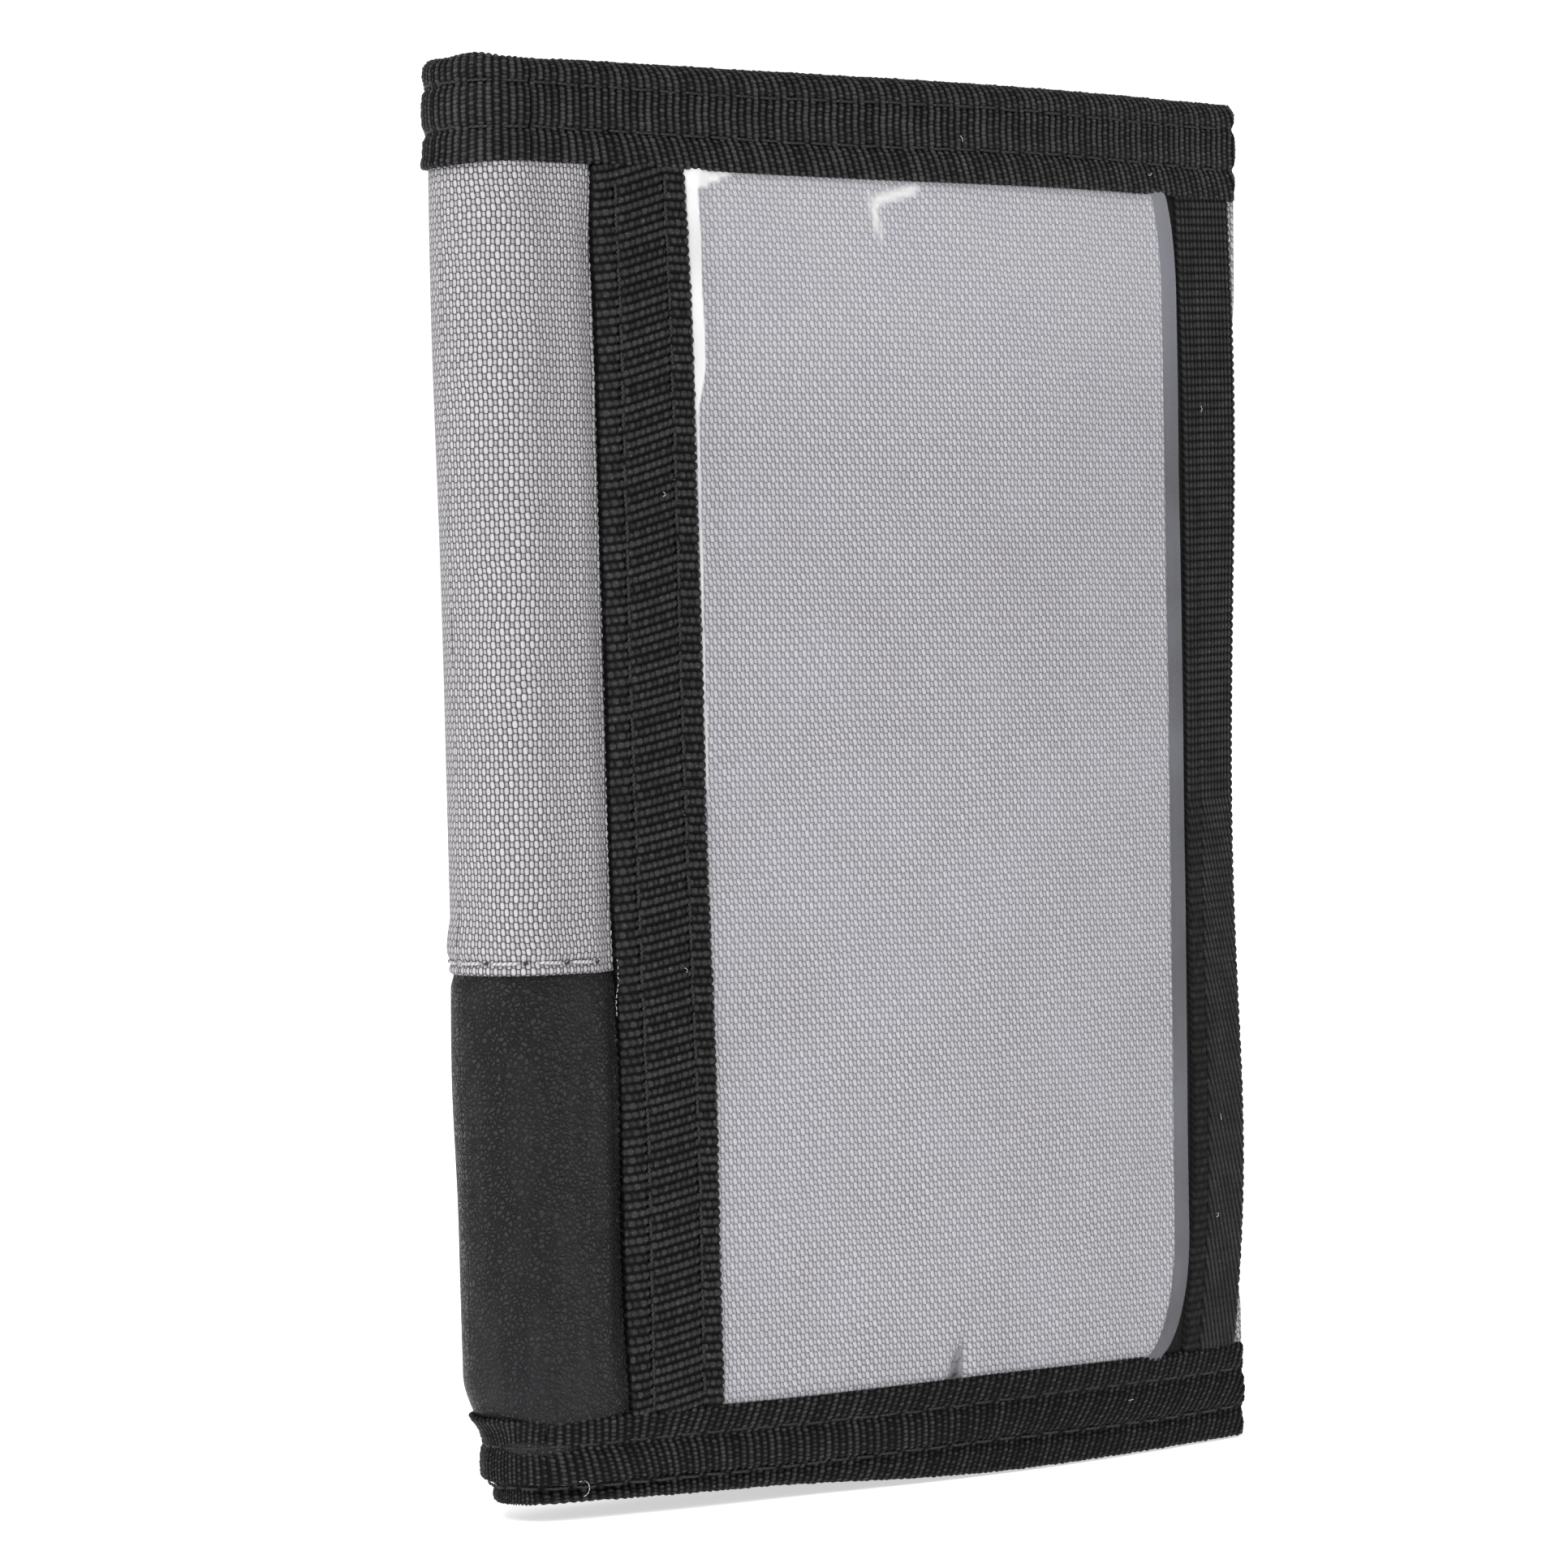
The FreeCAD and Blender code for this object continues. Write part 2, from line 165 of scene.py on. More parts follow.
def rolled(distance, width):
    """How far a rolled edge drops: 1 at the edge itself, and 0 at that width from it."""
    return 1 - np.sqrt(1 - (1 - np.clip(distance / width, 0, 1)) ** 2)


def nothing(*place):
    return 0.0


def waves(a, b, seed, size):
    """Soft, repeatable unevenness between about -1 and 1, with features of about that size."""
    draw = np.random.RandomState(seed)
    total, count = 0.0, 5
    for _ in range(count):
        angle, phase = draw.uniform(0, math.pi), draw.uniform(0, 2 * math.pi)
        turns = 2 * math.pi / (size * draw.uniform(0.7, 1.8))
        total = total + np.sin((a * math.cos(angle) + b * math.sin(angle)) * turns + phase)
    return total / count * 1.4


def steps(low, high, size):
    """Even steps of about that size from low to high."""
    return np.linspace(low, high, max(2, int(round((high - low) / size)) + 1))


def along(x):
    """How far along the cloth an x of a panel lies."""
    return QUARTER + x - FOLD_X


def across(s):
    """The x of a place along the cloth; on the spine it keeps counting along the cloth."""
    return s - QUARTER + FOLD_X


def stray(z):
    """How far the window webbing lies to the side at a height."""
    return natural_spline(z, *WEBBING_STRAY)


def pinch(s, z):
    """How much the spine draws in towards its foot, where the binding gathers all the layers."""
    return (1.75 * (1 - smooth(z, 6.5, 12.5)) + natural_spline(z, *SPINE_STRAY)) * (1 - smooth(s, 2, 11))


def groove(x, z):
    """How much the front is drawn in where the padded strip meets the webbing's seam."""
    return 0.85 * dip(x, WEBBING[0] - 0.3 + stray(z), 1.3) * smooth(z, 6, 20) * (1 - smooth(z, 108, 117))


def under_tapes(z):
    """How much a layer is pressed in under the bindings, so that they lie over it."""
    below_top = smooth(z, TAPE_EDGE["top"] - 0.4, TAPE_EDGE["top"] + 1.2)
    return 0.3 * (below_top + 1 - smooth(z, 7.6, TAPE_EDGE["bottom"] + 0.2))


def foot(s):
    """The height of the wallet's underside: it rises towards the spine."""
    return 0.12 + 1.5 * (1 - smooth(s, 6, 60)) ** 1.5 + 0.5 * dip(s, 34, 15)


def place(side, s, z, out):
    """The point at s along the cloth, at height z, standing that far out of the shell's face."""
    s, z, out = np.broadcast_arrays(np.asarray(s, float), np.asarray(z, float), np.asarray(out, float))
    sunk = pinch(s, z)
    if side == FRONT:
        sunk = sunk + groove(across(s), z)
    depth = (FACE + np.minimum(out, 0)) * (1 - sunk / FACE)
    proud = np.maximum(out, 0)
    angle = np.clip(s, 0, QUARTER) / FACE
    x = FOLD_X - (depth + proud) * np.cos(angle) + np.maximum(s - QUARTER, 0)
    full = 1 + (natural_spline(x, FULLNESS_X, FULLNESS) - 1) * (0.88 + 0.12 * np.sin(np.pi * z / TOP))
    y = side * (depth * np.sin(angle) * full + proud * np.sin(angle)) + LEAN * smooth(x, 0, FREE_X)
    return np.stack([x, y, z], axis=-1)


# ---------------------------------------------------------------- meshes


def signed_volume(points, quads):
    a, b, c, d = (points[quads[:, i]] for i in range(4))
    return (np.einsum("ij,ij->i", a, np.cross(b, c)) + np.einsum("ij,ij->i", a, np.cross(c, d))).sum()


def make_mesh(name, points, quads, extra, uv, weave=None):
    """An object from points in millimetres, quads, further flat faces, and a cloth map in millimetres."""
    mesh = bpy.data.meshes.new(name)
    mesh.from_pydata((points * MM).tolist(), [], quads.tolist() + extra)
    corners = np.empty(len(mesh.loops), np.int32)
    mesh.loops.foreach_get("vertex_index", corners)
    layer = mesh.uv_layers.new(name="cloth")
    layer.data.foreach_set("uv", uv[corners].astype(np.float32).ravel())
    mesh.polygons.foreach_set("use_smooth", [True] * len(quads) + [False] * len(extra))
    if weave is not None:
        raised = mesh.attributes.new("weave", "FLOAT", "POINT")
        raised.data.foreach_set("value", np.asarray(weave, np.float32).ravel())
    piece = bpy.data.objects.new(name, mesh)
    bpy.context.collection.objects.link(piece)
    return piece


def side_by_side(*arrays):
    return np.concatenate(arrays, axis=1)


def cloth_map(a, b):
    """The two directions along the cloth as a list of pairs."""
    return np.stack([a, b], axis=-1).reshape(-1, 2)


def grid_quads(rows, columns, wrap):
    index = np.arange(rows * columns).reshape(rows, columns)
    beside = np.roll(index, -1, axis=1)
    a, b = (index, beside) if wrap else (index[:, :-1], index[:, 1:])
    return np.stack([a[:-1], a[1:], b[1:], b[:-1]], axis=-1).reshape(-1, 4)


def loft(name, rings, uv, weave=None):
    """A closed solid through rings of points, capped at both ends."""
    rows, columns = rings.shape[:2]
    points = rings.reshape(-1, 3)
    quads = grid_quads(rows, columns, wrap=True)
    caps = [list(range(columns)), list(range((rows - 1) * columns, rows * columns))[::-1]]
    if signed_volume(points - points.mean(axis=0), quads) < 0:
        quads = quads[:, ::-1]
        caps = [cap[::-1] for cap in caps]
    return make_mesh(name, points, quads, caps, uv, weave)


def cloth_sheet(name, side, s, z, out, thick, slide=None):
    """A sheet over a grid of s and z. out is how far its outer face stands out; thick goes inwards."""
    s_grid, z_grid = np.meshgrid(s, z, indexing="ij")
    if slide:
        s_grid = slide(s_grid, z_grid)
    z_grid = np.maximum(z_grid, foot(s_grid) + 0.6)
    points = place(side, s_grid, z_grid, out(s_grid, z_grid)).reshape(-1, 3)
    quads = grid_quads(len(s), len(z), wrap=False)
    if side == BACK:
        quads = quads[:, ::-1]
    piece = make_mesh(name, points, quads, [], cloth_map(s_grid, z_grid))
    if thick:
        solid = piece.modifiers.new("thickness", "SOLIDIFY")
        solid.thickness = thick * MM
        solid.offset = -1.0
    return piece


def cloth_steps(start, end, size=1.0):
    """Places along the cloth, closer together round the spine."""
    turn = QUARTER + 1.5
    if start >= turn:
        return steps(start, end, size)
    return np.concatenate([steps(start, turn, 0.3), steps(turn, end, size)[1:]])


# ---------------------------------------------------------------- weaves


def ridges(ribs, beads, knuckle_share=0.5):
    """A ribbed weave's height, 0 in its grooves and 1 on its crowns. The beads are staggered."""
    number = np.floor(ribs)
    rib = crests(ribs, 0.7)
    shifted = beads + 0.5 * (number % 2) + 0.13 * np.sin(number * 2.4)
    knuckle = crests(shifted, 0.7)
    crown = 1 + 0.1 * np.sin(number * 1.7) + 0.14 * np.sin(np.floor(shifted) * 2.9 + number * 5.3)
    return rib * (1 - knuckle_share + knuckle_share * knuckle) * crown


def binding(name, side, s, tape, height=0.2):
    """A tape of that shape wrapped over an edge: along its outer face, round the edge, and back inside."""
    s = s[:, None]
    leg, turn_length, flat, inside = tape["shares"]
    edge, end, width = tape["edge"](s), tape["end"](s), tape["width"](s)
    up, radius, outside = tape["up"], tape["radius"], tape["outside"](s)
    legs = np.abs(end - edge) - radius
    inner_leg = np.abs(end - tape["inner_edge"](s)) - radius
    u = np.concatenate([leg, 1 + turn_length, 2 + flat, 3 + turn_length, 4 + inside])[None, :]
    first, turn_a, middle, turn_b, last = (np.clip(u - part, 0, 1) for part in range(5))
    turn_a, turn_b = turn_a * math.pi / 2, turn_b * math.pi / 2
    run = width - 2 * radius
    rise = legs * first + radius * np.sin(turn_a) - radius * (1 - np.cos(turn_b)) - inner_leg * last
    z = edge + up * rise
    out = outside - radius * (1 - np.cos(turn_a)) - run * middle - radius * np.sin(turn_b)
    length = legs * first + radius * (turn_a + turn_b) + run * middle + inner_leg * last
    past_lip = smooth(length, tape["lip_from"] - 0.15, tape["lip_from"] + 0.6)
    out = out - tape["lip"](s) * past_lip * (1 - middle)
    dz, dout = np.gradient(z, axis=1), np.gradient(out, axis=1)
    size = np.hypot(dz, dout) + 1e-9
    nz, nout = -up * dout / size, up * dz / size
    gathered = np.where(s < QUARTER, GATHERED, 1.0)
    ribs = ((s - QUARTER) * gathered + tape["slant"](s, length)) / TAPE_RIB
    weave = ridges(ribs, length / TAPE_BEAD)
    total = length.max(axis=1, keepdims=True)
    rim = np.minimum(length, total - length)
    tuck = 0.38 * rolled(rim, 0.45)
    raised = height * (weave - 1) - tuck + tape["relief"](s, length)
    scallop = 0.14 * (crests(ribs, 0.7) - 0.5) * np.clip(1 - length / 0.6, 0, 1)
    pick = np.unique(np.linspace(0, u.shape[1] - 1, 26).astype(int))[::-1]
    ring_z = side_by_side(z + nz * raised - up * scallop, (z - nz * TAPE_THICK)[:, pick])
    ring_out = side_by_side(out + nout * raised, (out - nout * TAPE_THICK)[:, pick])
    ring_s = np.broadcast_to(s, ring_z.shape)
    rings = place(side, ring_s, ring_z, ring_out)
    rings[..., 2] += tape["lift"](ring_s, ring_z)
    # The weave value, scaled by the crowns' painted highlight strength, paints highlight on the crowns and
    # shade in the grooves; the inside gets a dark value.
    shade = side_by_side(weave * tape["crown_highlight"](s, length), INNER_SHADE + 0 * z[:, pick])
    return loft(name, rings, cloth_map(ring_s, side_by_side(length, length[:, pick])), shade)


def strap(name, node, x_range, thick, style, height=0.26):
    """A flat ribbed webbing that stands up the front panel, with its edges rounded and scalloped."""
    low, high = x_range
    z = steps(*STRAP_ENDS, style["rib"] / 6)[:, None]
    face = steps(low, high, style["step"])[None, :]
    ribs = (z + style["slant"](face, z)) / style["rib"]
    weave = style["weave"](ribs, face)
    rim = np.minimum(face - low, high - face)
    tuck = 0.4 * rolled(rim, 0.5)
    out = thick - height * (1 - weave) - tuck + style["relief"](face, z)
    hold = np.clip(1 - rim / 1.2, 0, 1) * np.where(face < (low + high) / 2, -1, 1)
    ripple = 0.16 * (crests(ribs, 0.6) - 0.5) * hold
    x = face + ripple + style["drift"](z) + style["narrow"](face, z)
    back = np.unique(np.linspace(0, face.shape[1] - 1, 12).astype(int))[::-1]
    ring_x = side_by_side(x, x[:, back])
    ring_out = side_by_side(out, 0 * out[:, back] - 0.02)
    ring_z = np.broadcast_to(z, ring_x.shape)
    rings = place(FRONT, along(ring_x), ring_z, ring_out - under_tapes(ring_z) * 1.6)
    # Painted shade: where the edges roll under, the weave value is cut, so they are coloured darker; it also
    # paints highlight on the crowns and shade in the grooves.
    shade = side_by_side(weave * (1 - 0.45 * (tuck > 0.1)), INNER_SHADE + 0 * x[:, back])
    piece = loft(name, rings, cloth_map(ring_x, ring_z), shade)
    settle(piece, RIBBED, "front", (node,))


def stitches(name, side, runs, radius):
    """Sewing thread: one short rounded strand for each run, given as its two ends' s, z and out."""
    sides, stations = 8, 9
    u = np.linspace(0, 1, stations)[:, None]
    turn = np.arange(sides) / sides * 2 * math.pi
    ring = radius * (np.sqrt(np.clip(1 - (2 * u - 1) ** 6, 0, 1)) * 0.9 + 0.1)
    start, end = np.moveaxis(np.asarray(runs, float), 1, 0)[:, :, None, :]
    step = end - start
    size = np.hypot(step[..., :1], step[..., 1:2])
    centre = start + step * u
    s = centre[..., :1] - step[..., 1:2] / size * ring * np.cos(turn)
    z = centre[..., 1:2] + step[..., :1] / size * ring * np.cos(turn)
    arch = 0.12 * np.sin(np.pi * u) ** 0.5 - 0.1
    points = place(side, s, z, centre[..., 2:] + arch + ring * np.sin(turn)).reshape(-1, 3)
    uv = cloth_map(*np.broadcast_arrays(u * size, turn * radius + 0 * u))
    strand, count = grid_quads(stations, sides, wrap=True), stations * sides
    first = (np.arange(len(runs)) * count)[:, None, None]
    quads = (strand + first).reshape(-1, 4)
    ends = np.stack([np.arange(sides), count - 1 - np.arange(sides)])
    caps = (ends + first).reshape(-1, sides)
    if signed_volume(points[:count] - points[:count].mean(axis=0), strand) < 0:
        quads, caps = quads[:, ::-1], caps[:, ::-1]
    return make_mesh(name, points, quads, caps.tolist(), uv)


def even_stitches(start, count, pitch, gap, spread, seed, put):
    """Stitches in a row. put turns a place in the row and a small sideways error into s, z and out."""
    draw = np.random.RandomState(seed)
    runs = []
    for i in range(count):
        first = start + i * pitch + gap / 2
        ends = zip((first, first + pitch - gap), draw.uniform(-spread, spread, 2))
        runs.append(tuple(put(end, sway) for end, sway in ends))
    return runs


def seam(start, end, at, out, pitch=STITCH, gap=0.5, seed=1):
    """Stitches in a row along the cloth."""
    count = max(1, int(round((end - start) / pitch - 0.3)))
    return even_stitches(start, count, pitch, gap, 0.07, seed, lambda s, sway: (s, at(s) + sway, out(s)))


def upright_seam(low, high, x, out, seed):
    """Stitches in a row up a panel."""
    count = int((high - low) / EDGE_STITCH)

    def put(z, sway):
        return along(x(z)) + sway, z, out

    return even_stitches(low, count, EDGE_STITCH, 0.35, 0.06, seed, put)


# ---------------------------------------------------------------- materials


class Value:
    """A number or colour inside a material, with plain arithmetic."""

    def __init__(self, look, socket):
        self.look, self.socket = look, socket

    def __add__(self, other):
        return self.look.math("ADD", self, other)

    def __sub__(self, other):
        return self.look.math("SUBTRACT", self, other)

    def __rsub__(self, other):
        return self.look.math("SUBTRACT", other, self)

    def __mul__(self, other):
        return self.look.math("MULTIPLY", self, other)

    def __truediv__(self, other):
        return self.look.math("DIVIDE", self, other)

    def __pow__(self, other):
        return self.look.math("POWER", self, other)


class Surface:
    """A material under construction."""

    def __init__(self, name):
        self.material = bpy.data.materials.new(name)
        self.material.use_nodes = True
        self.tree = self.material.node_tree
        self.shader = self.tree.nodes["Principled BSDF"]

    def put(self, socket, value):
        if isinstance(value, Value):
            self.tree.links.new(value.socket, socket)
        elif isinstance(value, tuple):
            socket.default_value = (*value, 1)
        else:
            socket.default_value = value

    def node(self, kind, *values):
        """A node with its first sockets filled in."""
        made = self.tree.nodes.new(f"ShaderNode{kind}")
        for socket, value in zip(made.inputs, values):
            self.put(socket, value)
        return made

    def math(self, operation, *values):
        node = self.node("Math", *values)
        node.operation = operation
        return Value(self, node.outputs[0])

    def cloth_map(self):
        """The cloth's own two directions, in millimetres."""
        node = self.node("UVMap")
        node.uv_map = "cloth"
        parts = self.node("SeparateXYZ", Value(self, node.outputs["UV"]))
        return Value(self, parts.outputs[0]), Value(self, parts.outputs[1])

    def attribute(self, name):
        node = self.node("Attribute")
        node.attribute_name = name
        return Value(self, node.outputs["Fac"])

    def point(self, a, b):
        return Value(self, self.node("CombineXYZ", a, b).outputs[0])

    def texture(self, kind, where, scale):
        """A texture. With no place given, it lies fixed in the object, in metres."""
        node = self.node(kind)
        self.put(node.inputs["Vector"], where or Value(self, self.node("TexCoord").outputs["Object"]))
        node.inputs["Scale"].default_value = scale
        return node

    def noise(self, where, scale, detail=2.0):
        node = self.texture("TexNoise", where, scale)
        node.inputs["Detail"].default_value = detail
        return Value(self, node.outputs["Fac"])

    def cells(self, where, scale, kind="F1"):
        node = self.texture("TexVoronoi", where, scale)
        node.feature = kind
        return Value(self, node.outputs["Distance"])

    def between(self, value, low, high, start=0.0, end=1.0):
        """Goes smoothly from start to end as the value goes from low to high."""
        node = self.node("MapRange", value, low, high, start, end)
        node.interpolation_type = "SMOOTHSTEP"
        return Value(self, node.outputs[0])

    def colours(self, share, a, b):
        node = self.node("Mix", share)
        node.data_type = "RGBA"
        self.put(node.inputs[6], a)
        self.put(node.inputs[7], b)
        return Value(self, node.outputs[2])

    def bump(self, height, distance, strength=1.0):
        node = self.node("Bump")
        node.inputs["Strength"].default_value = strength
        node.inputs["Distance"].default_value = distance * MM
        self.put(node.inputs["Height"], height)
        self.put(self.shader.inputs["Normal"], Value(self, node.outputs[0]))

    def ramp(self, value, low, high, a, b):
        """Colour a where the value is low, and b where it is high."""
        return self.colours(self.between(value, low, high), a, b)

    def finish(self, colour, roughness, specular=0.5, sheen=0.0):
        names = "Base Color", "Roughness", "Specular IOR Level", "Sheen Weight"
        for name, value in zip(names, (colour, roughness, specular, sheen)):
            self.put(self.shader.inputs[name], value)
        return self.material


def plain_weave(look, across_pitch, up_pitch, lean=0.0, swell=0.08):
    """The height of a plain weave. Upright threads stand proud as ovals, which may lean within their rows."""
    u, v = look.cloth_map()
    drift = look.noise(look.point(u, v), 0.11, 3.0)
    u, v = (drift * 0.9 + u) / across_pitch, (drift * 0.7 + v) / up_pitch
    if lean:
        u = (look.math("FRACT", v) - 0.5) * lean + u
    turns = u * math.pi, v * math.pi
    sines = [look.math("SINE", turn) for turn in turns]
    cosines = [look.math("COSINE", turn) for turn in turns]
    crowded = []
    for own, other in ((0, 1), (1, 0)):
        crowded.append(look.math("SINE", cosines[own] * sines[other] * (swell * math.pi) + turns[own]))
    upright = look.math("GREATER_THAN", crowded[0] * crowded[1], 0.0)
    across_share, up_share = (look.math("ABSOLUTE", wave) for wave in crowded)
    oval = across_share**0.75 * up_share**0.25
    bar = up_share**0.6 * across_share**0.65 * 0.84
    return upright * (oval - bar) + bar, upright, u, v


def oxford_cloth(name, across_pitch, lean, gap_shade_tone, tone):
    """Grey Oxford: a plain weave of bright flat threads, with painted shade darkening the gaps between them.
    """
    look = Surface(name)
    height, upright, u, v = plain_weave(look, across_pitch, 0.565, lean)
    per_thread = look.noise(look.point(look.math("FLOOR", u), look.math("FLOOR", v)), 0.9, 0.0)
    fibres = look.noise(look.point(u * 9.0, v), 1.0)
    soil = look.noise(None, 70.0, 3.0)

    def shade(value):
        return tuple(part * value * tone for part in (1.0, 0.965, 1.015))

    light = look.ramp(per_thread, 0.3, 0.7, shade(0.37), shade(0.49))
    light = look.colours(upright * 0.4, light, shade(0.66))
    light = look.colours(look.between(soil, 0.35, 0.75, 0.0, 0.2), light, (0.33, 0.305, 0.32))
    gap_shade_colour = (gap_shade_tone, gap_shade_tone * 0.94, gap_shade_tone * 1.05)
    look.bump(fibres * 0.12 + height, 0.14)
    # Painted shade: the colour falls to the gap tone where the weave is low, between the threads.
    colour = look.ramp(height, 0.12, 0.72, gap_shade_colour, light)
    return look.finish(colour, look.between(fibres, 0.2, 0.8, 0.48, 0.7), 0.35, 0.06)


GRAIN_SHARE = 0.42


def coated_leather():
    """Black coated leather look. Its fine pebble grain, with painted shade in the creases between the
    pebbles, fades in upright streaks and towards the foot.
    """
    look = Surface("leather_look")
    u, v = look.cloth_map()
    where = look.point(u, v)
    warp = look.noise(where, 0.9)
    grain = look.cells(look.point(warp * 0.9 + u * 1.05, warp * 0.6 + v), 2.3, "DISTANCE_TO_EDGE")
    pebble = look.between(grain, 0.02, 0.22)
    streaks = look.noise(look.point(u, v * 0.25), 0.42)
    depth = look.between(v, 8.0, 26.0, 0.4, 1.0) * look.between(streaks, 0.38, 0.56, 0.55, 1.0)
    look.bump(pebble * depth, 0.3)
    # Painted shade: the colour darkens in the creases between the pebbles; where the grain fades, an even
    # share set by GRAIN_SHARE darkens it instead.
    crease_shade = ((1.0 - GRAIN_SHARE) - pebble) * depth + GRAIN_SHARE
    broad = look.noise(where, 0.13, 3.0)
    tone = look.ramp(broad, 0.3, 0.7, (0.0165, 0.0166, 0.0187), (0.0185, 0.0187, 0.021))
    colour = look.colours(crease_shade * 0.95, tone, (0.0015, 0.0015, 0.002))
    return look.finish(colour, look.between(pebble, 0.0, 1.0, 0.6, 0.36), 0.28)


def black_weave(name, dark, light):
    """Black ribbed tape or webbing: grey crowns as painted highlight and near-black gaps as painted shade,
    over the ribs of the shape.
    """
    look = Surface(name)
    u, v = look.cloth_map()
    where = look.point(u * 2.0, v * 2.0)
    fibres = look.noise(where, 5.0, 3.0)
    patches = look.noise(None, 500.0)
    # Painted highlight: small whitish specks on some crowns.
    painted_glint = look.between(look.noise(where, 2.6, 1.0), 0.6, 0.74)
    # Painted highlight and shade: the crowns of the ribs are coloured lighter, up to the light tone, and the
    # grooves near-black.
    crown = look.between(look.attribute("weave"), 0.38, 1.02)
    crown = crown * look.between(fibres, 0.25, 0.75, 0.55, 1.25)
    crown = crown * look.between(patches, 0.3, 0.7, 0.75, 1.2)
    colour = look.colours(crown, (dark, dark, dark * 1.04), (light * 1.02, light, light))
    look.bump(fibres, 0.03, 0.7)
    colour = look.colours(painted_glint * crown * 0.4, colour, (0.2, 0.2, 0.2))
    return look.finish(colour, look.between(fibres, 0.3, 0.7, 0.55, 0.4), 0.1)


def pocket_cloth(name, dark, light, pitches=(0.22, 0.24), specular=0.3):
    """A thin, close plain weave."""
    look = Surface(name)
    height = plain_weave(look, *pitches)[0]
    drape = look.noise(None, 45.0)
    look.bump(height, 0.05, 0.7)
    # Painted shade: the colour darkens where the weave is low; it also varies at random in broad patches.
    colour = look.ramp(drape * 0.35 + height * 0.8, 0.35, 0.95, dark, light)
    return look.finish(colour, look.between(drape, 0.3, 0.7, 0.45, 0.6), specular, 0.04)


def foam():
    look = Surface("foam_sheet")
    pores = look.cells(None, 2600.0)
    look.bump(pores, 0.1, 0.8)
    # Painted shade: the pores are coloured darker.
    return look.finish(look.ramp(pores, 0.1, 0.6, (0.05, 0.05, 0.055), (0.16, 0.16, 0.165)), 0.9, 0.2)


def closure_half(name, scale, distance, dark, light):
    """The hook or the loop half of the closure, as a field of tiny hooks or fluff."""
    look = Surface(name)
    where = look.point(*look.cloth_map())
    tufts = look.cells(where, scale)
    fluff = look.noise(where, scale * 1.7, 4.0)
    height = fluff * 0.6 + (1.0 - tufts)
    look.bump(height, distance)
    # Painted shade: the colour darkens where the hooks or fluff are low.
    return look.finish(look.ramp(height, 0.5, 1.3, dark, light), 0.75, 0.3, 0.25)


def sewing_thread(name, dark, light):
    """Twisted thread: fine slanting plies."""
    look = Surface(name)
    u, v = look.cloth_map()
    twist = look.math("SINE", v * 9.0 + u * 16.0)
    look.bump(twist, 0.03, 0.8)
    # Painted shade: the colour darkens in the grooves between the plies.
    return look.finish(look.ramp(twist, -0.8, 0.9, dark, light), 0.5, 0.4)


def clear_film():
    """Clear soft film, faintly milky, with painted highlights where it bends up from its seams: there it is
    coloured whiter and made less clear.
    """
    look = Surface("clear_film")
    painted_highlight = look.attribute("painted_highlight")
    mottle = look.noise(None, 110.0, 3.0)
    # Painted highlight: where the mask is high, the film is less clear and its colour whiter.
    share = look.math("MAXIMUM", look.between(mottle, 0.3, 0.72, 0.105, 0.15), painted_highlight)
    look.bump(look.noise(None, 55.0), 0.25, 0.5)
    tint = look.ramp(mottle, 0.4, 0.66, (0.92, 0.93, 1.0), (0.87, 0.88, 1.0))
    look.finish(look.ramp(painted_highlight, 0.2, 0.45, tint, (0.95, 0.95, 0.95)), 0.16, 0.6)
    clear = Value(look, look.node("BsdfTransparent").outputs[0])
    mixed = look.node("MixShader", share, clear, Value(look, look.shader.outputs[0]))
    look.put(look.tree.nodes["Material Output"].inputs["Surface"], Value(look, mixed.outputs[0]))
    return look.material


def lint():
    look = Surface("lint")
    tone = look.noise(None, 900.0)
    return look.finish(look.colours(tone, (0.3, 0.3, 0.3), (0.6, 0.6, 0.6)), 0.7)


# The fourth number of each Oxford is the tone of its painted shade in the gaps.
OXFORD = oxford_cloth("grey_oxford", 0.355, 0.12, 0.042, 0.92)
WINDOW_OXFORD = oxford_cloth("window_oxford", 0.42, 0.36, 0.055, 0.87)
LEATHER = coated_leather()
# The second tone of each black tape is the painted highlight on its crowns.
BINDING = black_weave("binding_tape", 0.001, 0.053)
RIBBED = black_weave("ribbed_webbing", 0.001, 0.037)
POCKET = pocket_cloth("black_pocket_cloth", (0.008, 0.008, 0.009), (0.03, 0.03, 0.032))
# Near-black facing: partly the facing cloth's own black, partly painted shadow in the gap beside the film's
# lip.
FACING_AND_SHADOW = pocket_cloth("facing_and_shadow_cloth", (0.001, 0.001, 0.001), (0.005, 0.005, 0.0055), specular=0.1)
LINING = pocket_cloth("lining_cloth", (0.05, 0.05, 0.053), (0.13, 0.13, 0.135), (0.16, 0.16))
FOAM = foam()
HOOK = closure_half("hook_tape", 2.3, 0.25, (0.008, 0.008, 0.008), (0.05, 0.05, 0.05))
LOOP = closure_half("loop_tape", 1.3, 0.35, (0.006, 0.006, 0.006), (0.035, 0.035, 0.036))
BLACK_THREAD = sewing_thread("black_thread", (0.002, 0.002, 0.003), (0.012, 0.012, 0.016))
GREY_THREAD = sewing_thread("grey_thread", (0.3, 0.29, 0.3), (0.62, 0.6, 0.63))
# Painted shade: a dark strand stands for the shade in a needle hole.
NEEDLE_HOLE_SHADE = sewing_thread("needle_hole_shade", (0.012, 0.012, 0.013), (0.03, 0.03, 0.032))
FILM_LOOK = clear_film()
LINT = lint()


# ---------------------------------------------------------------- giving the pieces their looks and places


def bends(piece, side_name):
    """The piece crosses the fold between that panel and the spine. Its place is baked into its mesh."""
    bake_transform(piece)


